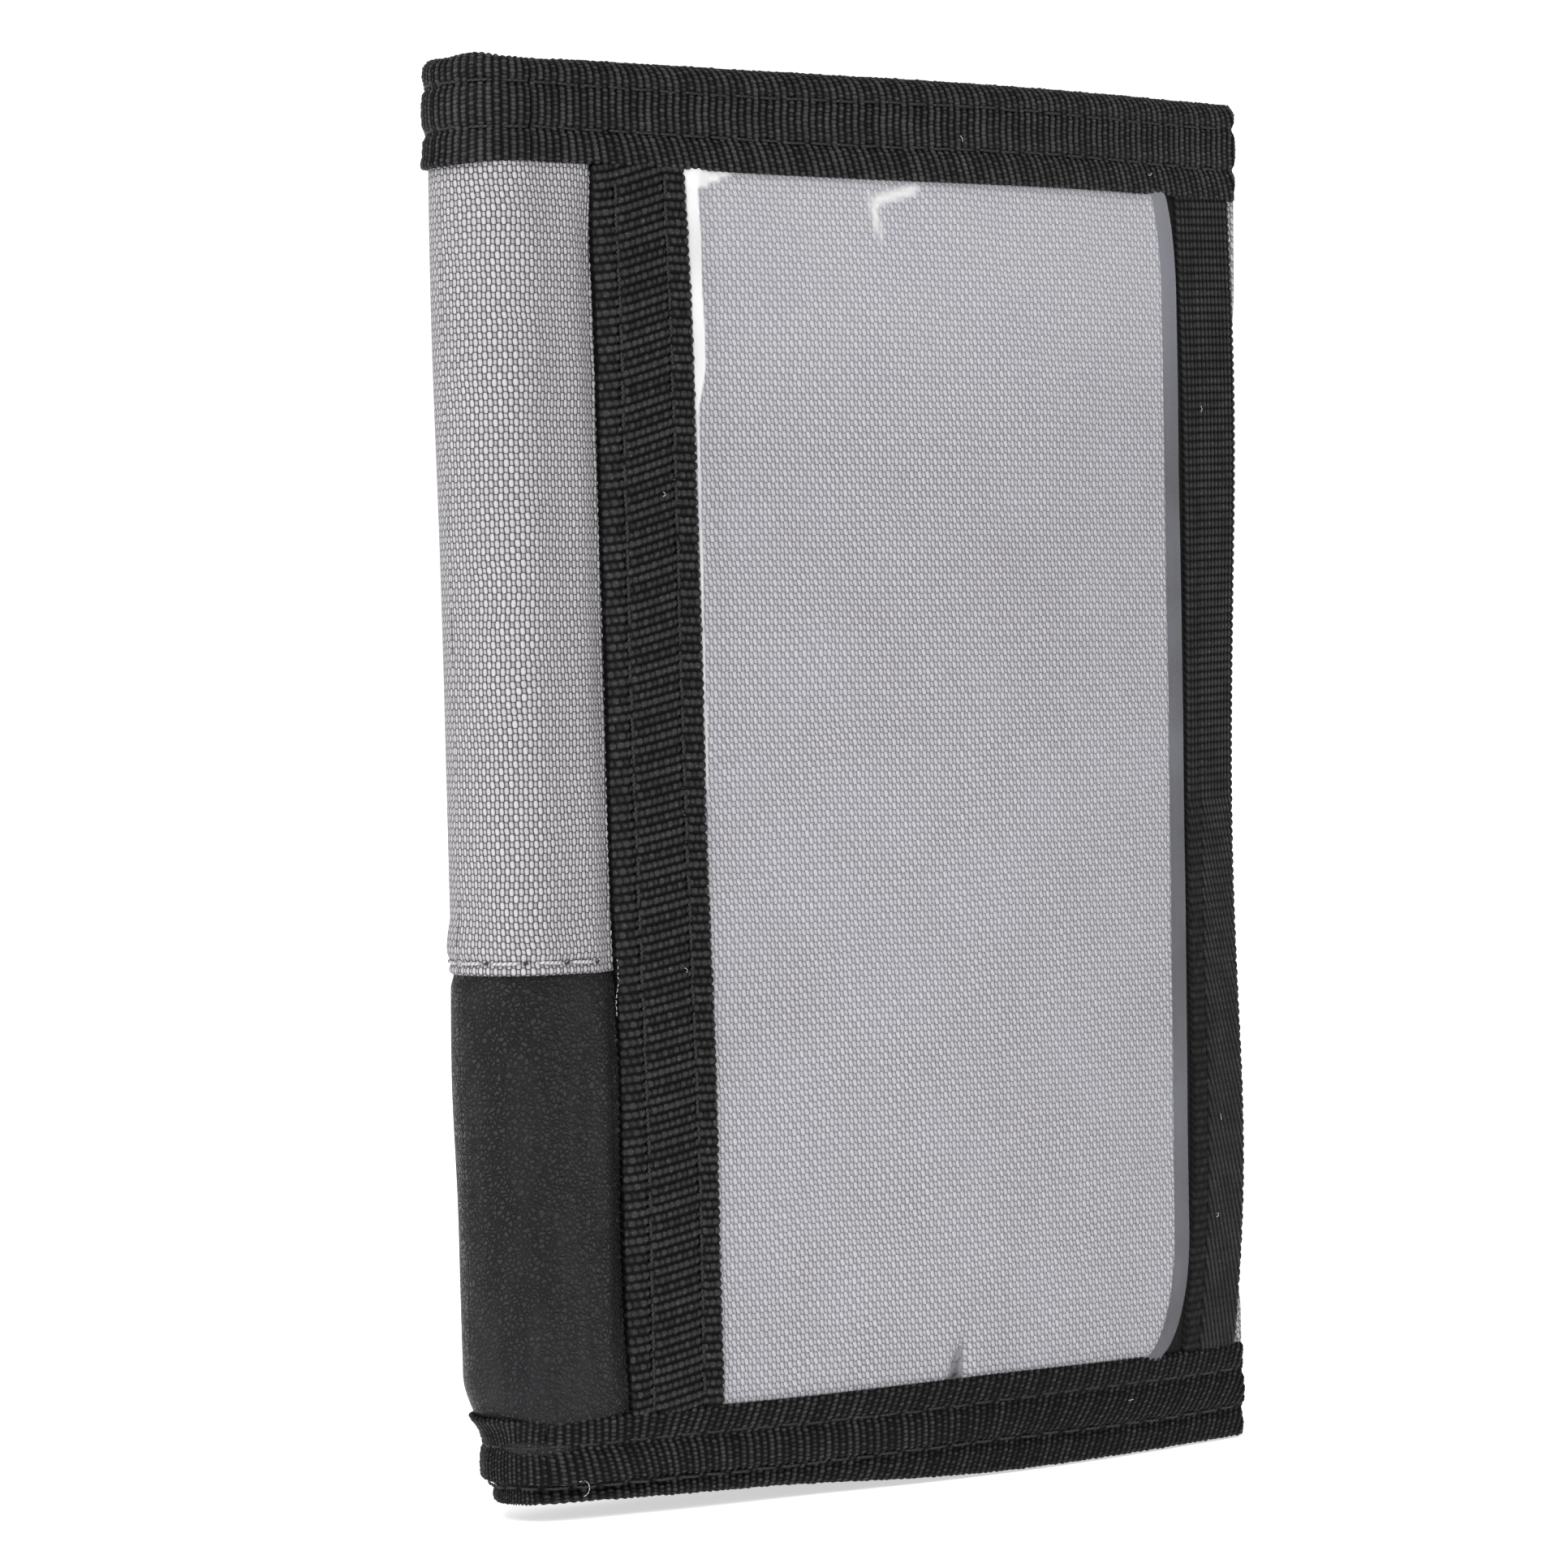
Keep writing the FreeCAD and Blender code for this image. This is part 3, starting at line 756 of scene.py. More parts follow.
def settle(piece, material, side_name, nodes=(), folds=False):
    """Gives a piece its look, hides the frame's nodes that it stands for, and ties it to its panel; a piece
    that crosses the fold only has its place baked into its mesh.
    """
    piece.data.materials.clear()
    piece.data.materials.append(material)
    if nodes:
        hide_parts(*nodes)
    if folds:
        bends(piece, side_name)
    else:
        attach(piece, f"{side_name}_panel")


def as_sheet(width, length):
    width * MM
    length * MM


def both_nodes(side_name, kind, front_kind=None):
    """The nodes that a sheet of one panel stands for. The front's sheets stand for the spine's as well."""
    if side_name == "back":
        return (f"back_{kind}",)
    return f"front_{front_kind or kind}", f"spine_{kind}"


def sew(name, side_name, runs, radius=THREAD_RADIUS, material=BLACK_THREAD, folds=False):
    settle(stitches(name, SIDES[side_name], runs, radius), material, side_name, folds=folds)


# ---------------------------------------------------------------- shell: Oxford cloth, patch, foam, lining


def strip_rise(s, z):
    """The padded strip beside the window: full over the spine's edge, and sunk at the webbing."""
    x = across(s) - stray(z)
    falls = 0.4 * smooth(x, -37.5, -30.0) + 0.6 * smooth(x, -32.6, -29.6)
    fade = smooth(TAPE_EDGE["top"] - z, 0, 9)
    return 0.95 * smooth(s, 1, 8) * (1 - falls) * (0.2 + 0.8 * fade) - 0.25 * smooth(x, -31.0, -29.3)


def back_rise(s):
    """The back panel's soft swell beside the spine."""
    return 0.3 * smooth(s, 1, 8)


def hem_rise(z):
    """The turned hem at the foot of the Oxford cloth, over the patch."""
    near = z - HEM
    sewn = 0.26 * dip(near, 1.0, 0.34)
    puff = 0.12 * dip(near, 2.3, 0.8)
    return 0.24 * (1 - smooth(near, 3.2, 5.0)) + puff - sewn - 0.32 * rolled(near, 0.45)


def shell_cloth(kind, side_name, z, rise, material, nodes):
    """A sheet of the shell, from the middle of the spine to the free edge, or in front to the webbing."""
    end = along(STRIP_END if side_name == "front" else SHELL_X)
    s = cloth_steps(0, end, 0.7)
    piece = cloth_sheet(f"{side_name}_{kind}", SIDES[side_name], s, z, rise, THICK[kind])
    settle(piece, material, side_name, nodes, folds=True)
    as_sheet(end, z[-1] - z[0])


def oxford_shell():
    z = np.concatenate([steps(HEM, HEM + 6, 0.2), steps(HEM + 6, CLOTH_TOP, 1.0)[1:]])
    for name, side in SIDES.items():

        def rise(s, z):
            swell = strip_rise(s, z) if side == FRONT else back_rise(s)
            soft = 0.06 * waves(s, z, 3, 16) * smooth(s, 2, 9)
            held_flat = 0.75 * smooth(across(s), WEBBING[0] - 3, WEBBING[0] - 0.5) if side == FRONT else 0
            hem = hem_rise(z) * (1 - held_flat)
            return 0.06 + hem + swell * (1 - 3 * under_tapes(z)) + soft - under_tapes(z)

        nodes = both_nodes(name, "shell", "side_strip")
        shell_cloth("oxford", name, z, rise, OXFORD, nodes)


def leather_patches():
    z = steps(LAYER_FOOT, PATCH_TOP, 0.8)
    for name, side in SIDES.items():

        def rise(s, z):
            swell = strip_rise(s, z) * (0.5 + 0.5 * smooth(z, 9, 20)) if side == FRONT else back_rise(s)
            under = -0.3 * smooth(z, HEM - 1.2, HEM + 0.2)
            return 0.02 + swell + 0.28 * dip(z, 38, 12) + under + 0.05 * waves(s, z, 5, 12) - under_tapes(z)

        nodes = both_nodes(name, "patch", "side_patch")
        shell_cloth("leather_patch", name, z, rise, LEATHER, nodes)


def inner_layer(kind, side_name, top, material, node):
    """A flat layer that goes round half the spine."""
    on_spine, on_panel = DEPTH[kind]
    end = along(LAYER_X)

    def rise(s, z):
        deeper = (on_panel - on_spine) * smooth(s, QUARTER - 1.5, QUARTER + 7)
        return on_spine + deeper + 0.02 * waves(s, z, 11, 20)

    s, z = cloth_steps(0, end, 1.2), steps(LAYER_FOOT, top, 1.5)
    piece = cloth_sheet(f"{side_name}_{kind}", SIDES[side_name], s, z, rise, THICK[kind])
    settle(piece, material, side_name, both_nodes(side_name, node), folds=True)
    as_sheet(end, top - LAYER_FOOT)


def inside_layers():
    wall_top = span("front_inner_wall", "z")[1]
    for name, side in SIDES.items():
        inner_layer("lining_cloth", name, SHELL_TOP, LINING, "lining")
        inner_layer("note_wall", name, wall_top, POCKET, "inner_wall")

        def rise(s, z):
            return FOAM_DEPTH - 0.4 * under_tapes(z)

        s, z = steps(QUARTER + 0.8, along(LAYER_X), 1.5), steps(LAYER_FOOT, CLOTH_TOP, 1.5)
        pad = cloth_sheet(f"{name}_foam", side, s, z, rise, THICK["foam"])
        settle(pad, FOAM, name, (f"{name}_stiffener",))


# ---------------------------------------------------------------- window: backing, film and webbings


def film_edge(z):
    """The x of the film's free edge: it bows out along the height and turns in at its rounded corners."""
    bow = FILM[1] - 0.4 + 0.35 * np.sin(np.pi * (z - 8) / 110)
    top_turn = np.clip((z - 106.5) / 12.0, 0, 0.97)
    foot_turn = np.clip((19.8 - z) / 11.4, 0, 0.97)
    return bow - 3.2 * (1 - np.sqrt(1 - top_turn**2)) - 5.2 * (1 - np.sqrt(1 - foot_turn**2))


def pucker_depth(x, z):
    """The small pinched fold where the window's foot was caught in the binding."""
    return 0.9 * dip(x - 0.22 * (z - 9), 6.0, 0.75) * (1 - smooth(z, 9.5, 14.0))


def backing_rise(s, z):
    return -0.08 - pucker_depth(across(s), z) + 0.05 * waves(s, z, 8, 22) - under_tapes(z)


def window_heights(fine, coarse):
    """Heights of the window's cloths, closer together at the pinched foot."""
    return np.concatenate([steps(LAYER_FOOT, 20, fine), steps(20, CLOTH_TOP, coarse)[1:]])


def window_backing():
    """The grey cloth of the window. Its hem shows beside the edge webbing as a narrow strip at the tapes."""
    start, end = BACKING
    near = along(end - 1)
    s = np.concatenate([steps(along(start), near, 0.6), steps(near, along(end), 0.1)[1:]])
    z = window_heights(0.4, 0.8)

    def slide(s, z):
        shown = 1.9 * smooth(z, 92, 108) + 1.0 * (1 - smooth(z, 12, 18)) - 0.8
        return s + shown * smooth(across(s), 37, 41)

    def rise(s, z):
        return backing_rise(s, z) - 0.3 * rolled(slide(along(end), z) - s, 0.3)

    piece = cloth_sheet("window_backing_cloth", FRONT, s, z, rise, WINDOW_THICK, slide)
    settle(piece, WINDOW_OXFORD, "front", ("window_backing",))
    as_sheet(end - start, z[-1] - z[0])


def window_facing():
    """The black facing under the edge webbing, coloured near-black so that it also stands as painted shadow
    between the film's lip and the webbing. The window's cloth ends at it, with rounded corners.
    """
    start, end = along(FILM[1] - FILM_LIP), along(EDGE_WEBBING[1] - 1.6)
    z = window_heights(0.35, 0.7)

    def slide(s, z):
        share = (end - s) / (end - start)
        return s + (along(film_edge(z) - FILM_LIP) - start) * share

    def rise(s, z):
        return backing_rise(s, z) + 0.13

    s = steps(start, end, 0.5)
    piece = cloth_sheet("window_facing_cloth", FRONT, s, z, rise, FACING_THICK, slide)
    settle(piece, FACING_AND_SHADOW, "front")
    as_sheet(FACING_WIDTH, z[-1] - z[0])


def film_rise(x, z):
    over_edge = 0.42 * smooth(x - film_edge(z), -3.2, -0.8)
    from_seam = 0.32 * dip(x, WEBBING[1] + stray(z) + 1.2, 1.1) * smooth(z, 40, 85)
    pucker = -0.8 * pucker_depth(x, z)
    return 0.13 + over_edge + from_seam + pucker + 0.05 * waves(x, z, 8, 22) - under_tapes(z)


def film_painted_highlight(x, z):
    """Where the film carries painted highlights: beside the webbing, at its top corner, and at a crease under
    the top tape.
    """
    half = 0.16 + 0.42 * smooth(z, 94.5, 99.5) + 0.04 * waves(x * 0, z, 31, 8)
    band = 1 - smooth(np.abs(x - WEBBING[1] - stray(z) - half), half - 0.08, half + 0.08)
    strength = 0.5 + 0.1 * waves(x * 0, z, 4, 9) + 0.16 * smooth(z, 90, 98)
    beside = band * smooth(z, 57, 66) * (1 - smooth(z, 114.6, 115.4)) * strength
    corner = smooth(z - 113.9 - 0.42 * np.abs(x + 19.6), 0, 0.5) * (1 - smooth(x, -16.8, -15.0))
    blot = dip(x + 0.25 * (z - 112), -1.2, 0.55) * dip(z, 112.4, 2.6)
    bar = dip(z - 0.25 * x, 114.2, 0.7) * smooth(x, -1.6, -0.8) * (1 - smooth(x, 2.6, 4.4))
    # Under the painted highlights the share keeps a floor that rises towards the top, so the film is milkier
    # there.
    veil = 0.1 + 0.1 * smooth(z, 84, 112)
    return np.clip(beside + 0.75 * corner + 0.65 * blot + 0.65 * bar, veil, 0.8)


def window_film():
    z = steps(8.4, 116.6, 0.5)
    by_webbing, middle, by_edge = steps(0, 0.11, 0.0022), steps(0.11, 0.9, 0.009), steps(0.9, 1, 0.004)
    share = np.unique(np.concatenate([by_webbing, middle, by_edge]))
    x = FILM[0] + (film_edge(z)[None, :] - FILM[0]) * share[:, None]
    z_grid = np.broadcast_to(z[None, :], x.shape)
    points = place(FRONT, along(x), z_grid, film_rise(x, z_grid)).reshape(-1, 3)
    quads = grid_quads(*x.shape, wrap=False)
    piece = make_mesh("window_film_sheet", points, quads, [], cloth_map(x, z_grid))
    # Painted highlights: a mask on the film's points that whitens its look.
    painted_highlight = piece.data.attributes.new("painted_highlight", "FLOAT", "POINT")
    painted_highlight.data.foreach_set("value", film_painted_highlight(x, z_grid).astype(np.float32).ravel())
    settle(piece, FILM_LOOK, "front", ("window_film",))
    as_sheet(FILM[1] - FILM[0], z[-1] - z[0])


def webbing_rows(z):
    """Where the two sewn rows run across the window webbing."""
    return WEBBING[0] + 2.15 + 0.12 * np.sin(z / 17), WEBBING[0] + 7.3 + 0.12 * np.sin(z / 23 + 1)


def window_webbing():
    def slant(x, z):
        left, right = webbing_rows(z)
        main = np.clip(x, left, right) - (left + right) / 2
        return -main * (0.19 + 0.11 * smooth(z, 55, 95)) - (np.minimum(x, left) - left) * 0.17

    def relief(x, z):
        left, right = webbing_rows(z)
        sunk = -0.2 * (dip(x, left, 0.36) + dip(x, right, 0.36))
        return sunk + 0.08 * dip(x, (left + right) / 2, 1.8)

    style = {
        "step": WEBBING_BEAD / 5.5,
        "rib": WEBBING_RIB,
        "slant": slant,
        "weave": lambda ribs, x: ridges(ribs, (x - WEBBING[0]) / WEBBING_BEAD),
        "relief": relief,
        "drift": lambda z: stray(z) + 0.05 * np.sin(z / 5.1),
        "narrow": nothing,
    }
    strap("window_webbing_band", "window_webbing", WEBBING, 0.55, style)
    runs = []
    for row, start in enumerate((9.0, 9.8)):
        runs += upright_seam(start, 116, lambda z: webbing_rows(z)[row] + float(stray(z)), 0.3, 5 + row)
    sew("window_webbing_stitches", "front", runs, 0.17)


def edge_webbing():
    low, high = EDGE_WEBBING
    border = low + 2.2

    def weave(ribs, x):
        """Fine upright cords, cut into rows of beads higher up, and slanting and plainer towards the foot."""
        height = ribs * EDGE_RIB
        grow = smooth(height, 30, 75)
        leaning = x + 0.28 * np.minimum(height - 60, 0)
        cords = 0.42 + 0.58 * crests(leaning / EDGE_BEAD, 0.8)
        rows = 1 - (0.12 + 0.5 * grow) * (1 - crests(ribs, 0.8))
        border_rows = 0.3 + 0.3 * ridges(ribs, (x - low) / (1.6 * EDGE_BEAD), 0.4)
        at_border = (1 - smooth(x, border - 0.2, border + 0.2)) * (1 - 0.7 * grow)
        plain = cords * rows * (0.84 + 0.16 * grow)
        return plain + (border_rows - plain) * at_border

    def narrow(x, z):
        """It curls back round the free edge half way up, so it looks narrower there."""
        return (0.22 - 0.5 * dip(z, 62, 26)) * (x - (low + high) / 2) / (high - low) * 2

    style = {
        "step": EDGE_BEAD / 5,
        "rib": EDGE_RIB,
        "slant": lambda x, z: -0.05 * (x - low),
        "weave": weave,
        "relief": lambda x, z: 0.05 * np.sin((x - low) / (high - low) * np.pi) - 0.15 * dip(x, border, 0.2),
        "drift": lambda z: natural_spline(z, *EDGE_STRAY),
        "narrow": narrow,
    }
    strap("edge_webbing_band", "edge_webbing", EDGE_WEBBING, 0.5, style)


# ---------------------------------------------------------------- bindings


TOP_ROWS = (TAPE_EDGE["top"] + 2.9, TAPE_EDGE["top"] + 6.7)
BOTTOM_ROWS = (6.65, 3.1)


def constant(value):
    return lambda s: np.zeros_like(s) + value


def crown_highlight_strength(s, length):
    """How strong the painted highlight on the tape's crowns is: a little weaker near the spine, and varying
    at random along the tape.
    """
    return 0.97 - 0.03 * (1 - smooth(s, 5, 60)) + 0.06 * waves(s, length, 17, 6)


def even_shares(length, step):
    count = max(2, int(round(length / step)))
    return np.arange(count) / count


def shares(leg, radius, flat, fine, coarse):
    """How many samples each part of a wrapped tape gets, from its length and the two step sizes."""
    outer, corner = even_shares(leg, fine), even_shares(radius * 1.57, fine)
    return outer, corner, even_shares(flat, coarse), np.append(even_shares(leg, coarse), 1.0)


def folded_tape(low, high, inner_low, radius, width, outside, fine, coarse, **more):
    """A plain tape folded over an edge at its top. Further values add to its shape."""
    tape = {
        "edge": constant(low),
        "end": constant(high),
        "inner_edge": constant(inner_low),
        "radius": radius,
        "width": constant(width),
        "outside": outside,
        "up": 1.0,
        "slant": nothing,
        "relief": nothing,
        "lip": nothing,
        "lip_from": 100.0,
        "lift": nothing,
        "crown_highlight": crown_highlight_strength,
        "shares": shares(high - low - radius, radius, 0.02, TAPE_BEAD / fine, TAPE_BEAD / coarse),
    }
    tape.update(more)
    return tape


def top_tape():
    low, top = TAPE_EDGE["top"], TOP
    radius = 1.3

    def slant(s, length):
        low_row, high_row = TOP_ROWS[0] - low, TOP_ROWS[1] - low
        ends = -0.34 * (np.minimum(length, low_row) - low_row + np.clip(length - high_row, 0, 3.2))
        middle = 0.34 * np.sin(np.pi * np.clip((length - low_row) / (high_row - low_row), 0, 1))
        return (middle - ends) * smooth(s, 6, 22)

    def relief(s, length):
        grooves = sum(-0.26 * dip(length, row - low, 0.42) for row in TOP_ROWS)
        puff = 0.12 * dip(length, 4.8, 1.3) + 0.06 * dip(length, 1.4, 0.9)
        flare = 0.3 * dip(length, 0, 0.8) * (1 - smooth(s, 3, 6))
        return grooves + puff + flare + 0.03 * waves(s, length, 14, 7)

    return folded_tape(
        low, top, low + 0.2, radius, 2 * radius + 0.02, constant(0.55), 4.2, 1.6,
        edge=lambda s: low + 0.1 * np.sin(s / 9.0) - 0.25 * (1 - smooth(s, 1, 6)),
        end=constant(top - 0.15),
        slant=slant,
        relief=relief,
        lift=lambda s, z: (0.3 * dip(s, 3.4, 1.7) - 0.12 * dip(s, 8.5, 3)) * smooth(z, 119, 124),
    )


def bottom_tape():
    radius, top = 0.6, TAPE_EDGE["bottom"]
    first, second = (top - row for row in BOTTOM_ROWS)
    on_spine, on_panel = 2.9, 5.5

    def slant(s, length):
        wing = 0.45 * (np.minimum(length, first) - first) * smooth(s, 12, 24)
        foot_wing = 0.5 * np.clip(length - 5.6, 0, 3) * smooth(s, 14, 40)
        turned = 0.75 * smooth(s, 44, 66) - 0.32 * dip(s, 16, 7)
        return wing + foot_wing + turned * np.clip(length - first, 0, 3.4)

    def relief(s, length):
        sunk = -0.24 * dip(length, first, 0.42) - 0.3 * dip(length, second, 0.45)
        puff = 0.14 * dip(length, (first + second) / 2, 1.2)
        flare = 0.6 * dip(length, 0, 1.0) * (1 - smooth(s, 4, 10))
        return sunk + puff + flare + 0.03 * waves(s, length, 15, 7)

    return {
        "edge": lambda s: top - 0.25 * smooth(s, 3, 14) + 0.12 * np.sin(s / 7.0) * smooth(s, 8, 20),
        "end": foot,
        "inner_edge": constant(top - 0.2),
        "radius": radius,
        "width": lambda s: on_spine + (on_panel - on_spine) * smooth(s, QUARTER - 0.5, QUARTER + 7),
        "outside": lambda s: 0.15 + 0.4 * smooth(s, 3, 12),
        "up": -1.0,
        "slant": slant,
        "relief": relief,
        "lip": lambda s: 0.15 + 1.45 * (1 - smooth(s, 4, 26)),
        "lip_from": second - 0.45,
        "lift": nothing,
        # The bottom tape's crowns get a weaker painted highlight, weaker still further from the spine.
        "crown_highlight": lambda s, length: crown_highlight_strength(s, length) * (0.87 - 0.1 * smooth(s, 30, 60)),
        "shares": shares(top - radius, radius, 3.7, TAPE_BEAD / 4.2, TAPE_BEAD / 1.6),
    }


def inner_tape():
    radius = 0.32
    low, top = span("front_inner_tape", "z")
    leg = top - low - radius

    def outside(s):
        return -1.38 - 0.8 * smooth(s, QUARTER - 1.5, QUARTER + 7)

    def relief(s, length):
        return -0.08 * dip(length, 1.6, 0.4) - 0.08 * dip(length, 2 * leg - 0.6, 0.4)

    return folded_tape(low, top, low + 0.1, radius, 2 * radius + 0.02, outside, 3, 3, relief=relief)


def wrap_edges():
    kinds = {
        "top": (top_tape(), TAPE_END["top"], 4.8, 0.2),
        "bottom": (bottom_tape(), TAPE_END["bottom"], 4.8, 0.2),
        "inner": (inner_tape(), LAYER_X, 3.5, 0.12),
    }
    for kind, (tape, end_x, samples, height) in kinds.items():
        fold = steps(0, QUARTER, TAPE_RIB / samples / GATHERED)
        flat = steps(QUARTER, along(end_x), TAPE_RIB / samples)
        for name, side in SIDES.items():
            piece = binding(f"{name}_{kind}_binding_fold", side, fold, tape, height)
            spine_nodes = (f"spine_{kind}_tape",) if side == FRONT else ()
            settle(piece, BINDING, name, spine_nodes, folds=True)
            piece = binding(f"{name}_{kind}_binding", side, flat, tape, height)
            settle(piece, BINDING, name, (f"{name}_{kind}_tape",))


def binding_stitches():
    """Two sewn rows along each outer binding, split at the fold."""
    for name, side in SIDES.items():
        for kind, rows in (("top", TOP_ROWS), ("bottom", BOTTOM_ROWS)):
            end = along(TAPE_END[kind]) - 0.8
            folded, flat = [], []
            for index, row in enumerate(rows):

                def at(s):
                    return row + 0.12 * math.sin(s / 8 + index)

                def out(s):
                    if kind == "top":
                        return 0.3
                    lip = 0.8 * (1 - float(smooth(s, 4, 20))) if index == 1 else 0.0
                    return 0.4 * float(smooth(s, 3, 12)) - 0.1 - lip

                seed = 10 * index + (1 if side == FRONT else 2)
                folded += seam(0, QUARTER, at, out, QUARTER / 3, seed=seed)
                flat += seam(QUARTER, end, at, out, seed=seed + 5)
            sew(f"{name}_{kind}_fold_stitches", name, folded, folds=True)
            sew(f"{name}_{kind}_stitches", name, flat)


def hem_stitches():
    """The hem's row of grey stitches, sunk in the cloth, with a short dark strand after each stitch as
    painted shade in its needle hole.
    """
    for name, side in SIDES.items():
        end = along(WEBBING[0]) - 0.4 if side == FRONT else along(SHELL_X) - 1

        def at(s):
            return HEM_ROW + 0.08 * math.sin(s / 3)

        def out(s):
            lift = strip_rise(np.array(s), np.array(HEM_ROW)) if side == FRONT else back_rise(s)
            return 0.22 + float(lift)

        folded = seam(0, QUARTER, at, out, QUARTER / 2.5, 0.8, 3)
        flat = seam(folded[-1][1][0] + 0.8, end, at, out, 3.2, 0.8, 4)
        for kind, runs in (("hem_fold", folded), ("hem", flat)):
            # Painted shade: a short dark strand lies on each needle hole.
            hole_shades = []
            for _, (s, z, height) in runs:
                hole_shades.append(((s + 0.2, z - 0.12, height + 0.02), (s + 0.6, z + 0.1, height + 0.02)))
            folds = kind == "hem_fold"
            sew(f"{name}_{kind}_stitches", name, runs, THREAD_RADIUS, GREY_THREAD, folds)
            sew(f"{name}_{kind}_holes", name, hole_shades, 0.12, NEEDLE_HOLE_SHADE, folds)


def curl(start, count, length, heading, turn):
    """A chain of short strands that turns evenly as it goes."""
    s, z, out = start
    chain = []
    for _ in range(count):
        ahead = (s + length * math.cos(heading), z + length * math.sin(heading), out)
        chain.append(((s, z, out), ahead))
        s, z = ahead[:2]
        heading += turn
    return chain


def lint_fibres():
    """A few pale fibres caught on the black webbings and tapes, and two loose thread ends."""
    draw = np.random.RandomState(12)
    on_edge_webbing = ((38.0, 96, 0.52), (39.5, 30, 0.52), (38.6, 21, 0.52))
    on_webbing = ((-24.0, 88, 0.56), (-22.6, 47, 0.56))
    on_tapes = ((8.0, 119.4, 0.7), (31.0, 117.6, 0.6), (26.0, 5.2, 0.7))
    strands = []
    for x, z, out in on_edge_webbing + on_webbing + on_tapes:
        heading, turn = draw.uniform(0, 2 * math.pi), draw.uniform(-1.2, 1.2)
        strands += curl((along(x), z, out), 3, 0.2, heading, turn)
    strands += curl((QUARTER + 3.2, 2.4, 0.5), 7, 0.34, 0.4, 0.5)
    s, z, out = along(WEBBING[0] + float(stray(HEM))) + 0.12, HEM + 1.6, 0.34
    for _ in range(11):
        ahead = (s + draw.uniform(-0.09, 0.12), z - 0.5, out)
        strands.append(((s, z - 0.1, out), ahead))
        s, z = ahead[:2]
    sew("front_lint", "front", strands, 0.034, LINT)


# ---------------------------------------------------------------- pockets and closure


def lie(node, side):
    """How deep a node's two faces lie behind the shell's face, and its ends along the cloth and in height."""
    low, high = span(node, "y")
    near, far = (-low, -high) if side == FRONT else (high, low)
    start, end = span(node, "x")
    return near - FACE, far - FACE, along(start), along(end), *span(node, "z")


def pocket_panels():
    pockets = {
        "front": ("card_slot_rear", "card_slot_middle", "card_slot_near"),
        "back": ("slip_pocket_tall", "slip_pocket_short"),
    }
    for name, nodes in pockets.items():
        side = SIDES[name]
        for index, node in enumerate(nodes):
            outer, inner, start, end, low, high = lie(node, side)

            def rise(s, z):
                return outer + 0.03 * waves(s, z, 40 + index, 18)

            s, z = steps(start, end, 1.3), steps(low, high, 1.3)
            piece = cloth_sheet(f"{node}_cloth", side, s, z, rise, outer - inner)
            settle(piece, POCKET, name, (node,))
            as_sheet(end - start, high - low)
            mouth_tape(node, name, start, end)


def mouth_tape(node, name, start, end):
    """The narrow tape folded over a pocket's mouth."""
    side = SIDES[name]
    outer, inner, _, _, low, high = lie(f"{node}_tape", side)
    thick = outer - inner
    tape = folded_tape(low, high, low + 0.05, thick / 2 - 0.01, thick, constant(outer), 2.5, 2.5)
    piece = binding(f"{node}_mouth", side, steps(start, end, TAPE_RIB / 4), tape, 0.07)
    settle(piece, BINDING, name, (f"{node}_tape",))
    row = seam(start + 0.5, end - 0.5, lambda s: low + 1.2, lambda s: inner + 0.04, seed=9)
    sew(f"{node}_stitches", name, row, 0.12)


def sew_down(node, name, inset, low, high, out, radius):
    """A seam up each long side of a narrow piece."""
    near, far = span(node, "x")
    runs = []
    for x in (near + inset, far - inset):
        runs += upright_seam(low, high, lambda z: x, out, int(x))
    sew(f"{node}_stitches", name, runs, radius)


def edge_bands():
    for name, side in SIDES.items():
        node = f"{name}_edge_band"
        outer, inner, start, end, low, high = lie(node, side)

        def rise(s, z):
            return outer + 0.02 * waves(s, z, 50, 14)

        s, z = steps(start, end, 0.9), steps(low, high, 1.2)
        piece = cloth_sheet(f"{node}_cloth", side, s, z, rise, outer - inner)
        settle(piece, POCKET, name, (node,))
        as_sheet(end - start, high - low)
        sew_down(node, name, 0.9, low + 9, high - 1, inner - 0.02, 0.12)


def closure():
    for node, name, material in (("hook_tape", "front", HOOK), ("loop_tape", "back", LOOP)):
        side = SIDES[name]
        outer, inner, start, end, bottom, top = lie(node, side)
        s, z = steps(start, end, 0.25), steps(bottom, top, 0.4)
        s_grid, z_grid = np.meshgrid(s, z, indexing="ij")
        rim = np.minimum.reduce([s_grid - s[0], s[-1] - s_grid, z_grid - z[0], z[-1] - z_grid])
        pile = inner + 0.12 + 0.25 * rolled(rim, 0.8) + 0.05 * waves(s_grid, z_grid, 60, 1.1)
        points = np.stack([place(side, s_grid, z_grid, out) for out in (outer, pile)]).reshape(-1, 3)
        count = s_grid.size
        number = np.arange(count).reshape(s_grid.shape)
        border = np.concatenate([number[0], number[1:, -1], number[-1, -2::-1], number[-2:0:-1, 0]])
        ahead = np.roll(border, -1)
        rims = np.stack([border, ahead, ahead + count, border + count], axis=1)
        quads = grid_quads(len(s), len(z), wrap=False)
        faces = np.concatenate([quads, quads[:, ::-1] + count, rims[:, ::-1]])
        if signed_volume(points - points.mean(axis=0), faces) < 0:
            faces = faces[:, ::-1]
        piece = make_mesh(f"{node}_pile", points, faces, [], np.tile(cloth_map(s_grid, z_grid), (2, 1)))
        settle(piece, material, name, (node,))
        sew_down(node, name, 0.7, bottom + 0.5, top - 0.5, inner + 0.08, 0.13)


# ---------------------------------------------------------------- camera, floor and light


def add(name, data):
    """A new object in the scene."""
    made = bpy.data.objects.new(name, data)
    bpy.context.collection.objects.link(made)
    return made


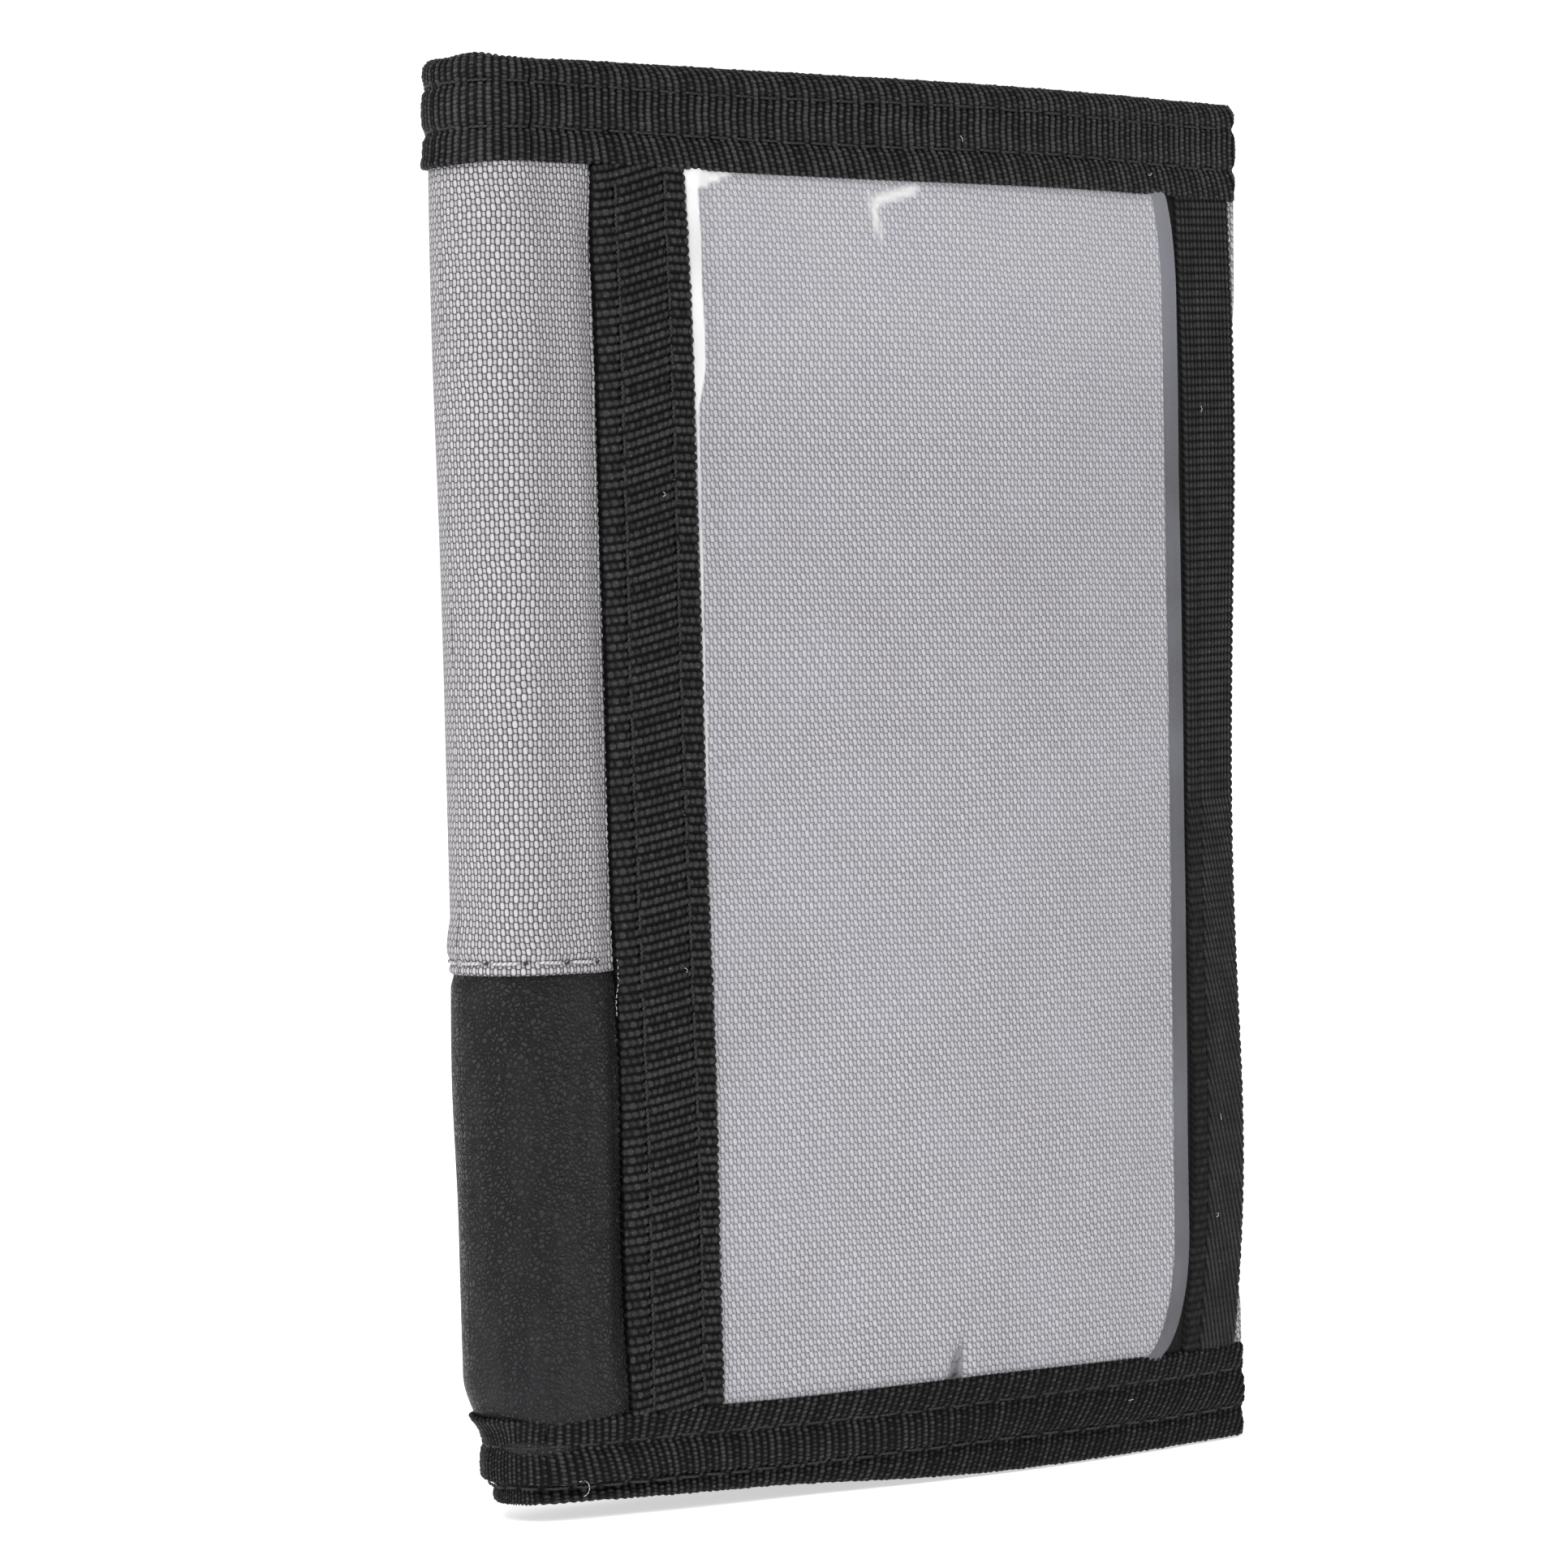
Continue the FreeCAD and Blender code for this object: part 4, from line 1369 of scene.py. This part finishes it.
def view_basis(azimuth, elevation, roll=0.0):
    """The direction from the wallet towards a viewer or lamp, and the axes of one that looks back along it.
    Azimuth 0 is in front, and negative is the spine's side."""
    turn, lift = math.radians(azimuth), math.radians(elevation)
    towards = np.array([math.sin(turn) * math.cos(lift), -math.cos(turn) * math.cos(lift), math.sin(lift)])
    level = np.array([math.cos(turn), math.sin(turn), 0.0])
    upward = np.cross(towards, level)
    matrix = np.eye(4)
    matrix[:3, 0] = level * math.cos(roll) + upward * math.sin(roll)
    matrix[:3, 1] = upward * math.cos(roll) - level * math.sin(roll)
    matrix[:3, 2] = towards
    return towards, level, matrix


def camera():
    """The photograph's view: from the spine's side, level with the wallet's middle, tipped a little."""
    distance, aside, raised = 479.2, -6.45, -0.11
    towards, level, matrix = view_basis(-35.07, 1.14, math.radians(-0.88))
    matrix[:3, 3] = (np.array([0, 0, TOP / 2 + raised]) + level * aside + towards * distance) * MM
    data = bpy.data.cameras.new("camera")
    data.lens = 122.98
    data.sensor_width = 36.0
    data.clip_start = 0.01
    made = add("camera", data)
    made.matrix_world = matrix.T.tolist()
    bpy.context.scene.camera = made


def lamp(name, kind, azimuth, elevation, power, distance=0.0):
    """A lamp that shines at the wallet's middle."""
    data = bpy.data.lights.new(name, kind)
    data.energy = power
    towards, _, matrix = view_basis(azimuth, elevation)
    matrix[:3, 3] = np.array([0, 0, TOP / 2 * MM]) + towards * distance
    add(name, data).matrix_world = matrix.T.tolist()
    return data


def surroundings():
    """Even white light all round. What is seen directly is a little brighter, as a pure white background."""
    world = bpy.data.worlds.new("studio")
    bpy.context.scene.world = world
    world.use_nodes = True
    tree = world.node_tree
    around, seen = tree.nodes["Background"], tree.nodes.new("ShaderNodeBackground")
    for background, strength in ((around, 0.53), (seen, 1.1)):
        background.inputs["Color"].default_value = (1, 1, 1, 1)
        background.inputs["Strength"].default_value = strength
    mixed = tree.nodes.new("ShaderNodeMixShader")
    tree.links.new(tree.nodes.new("ShaderNodeLightPath").outputs["Is Camera Ray"], mixed.inputs[0])
    tree.links.new(around.outputs[0], mixed.inputs[1])
    tree.links.new(seen.outputs[0], mixed.inputs[2])
    tree.links.new(mixed.outputs[0], tree.nodes["World Output"].inputs["Surface"])


def floor():
    """A plain white floor that glows a little, so that it stays as pale as the surroundings."""
    mesh = bpy.data.meshes.new("floor")
    wide = 3.0
    corners = [(-wide, -wide, 0), (wide, -wide, 0), (wide, wide, 0), (-wide, wide, 0)]
    mesh.from_pydata(corners, [], [(0, 1, 2, 3)])
    white = Surface("floor_white")
    mesh.materials.append(white.finish((0.95, 0.95, 0.95), 0.9))
    white.put(white.shader.inputs["Emission Color"], (1.0, 1.0, 1.0))
    white.put(white.shader.inputs["Emission Strength"], 0.58)
    add("floor", mesh)


def studio():
    """White surroundings and floor, a broad high sun on the spine's side, and a soft box beside the spine."""
    bpy.context.scene.view_settings.view_transform = "Standard"
    surroundings()
    floor()
    lamp("key_light", "SUN", -48, 42, 1.95).angle = math.radians(28)
    side_box = lamp("side_softbox", "AREA", -80, 12, 1.0, 0.8)
    side_box.shape = "RECTANGLE"
    side_box.size, side_box.size_y = 0.35, 0.6


oxford_shell()
leather_patches()
inside_layers()
window_backing()
window_facing()
window_film()
window_webbing()
edge_webbing()
wrap_edges()
binding_stitches()
hem_stitches()
lint_fibres()
pocket_panels()
edge_bands()
closure()
camera()
studio()
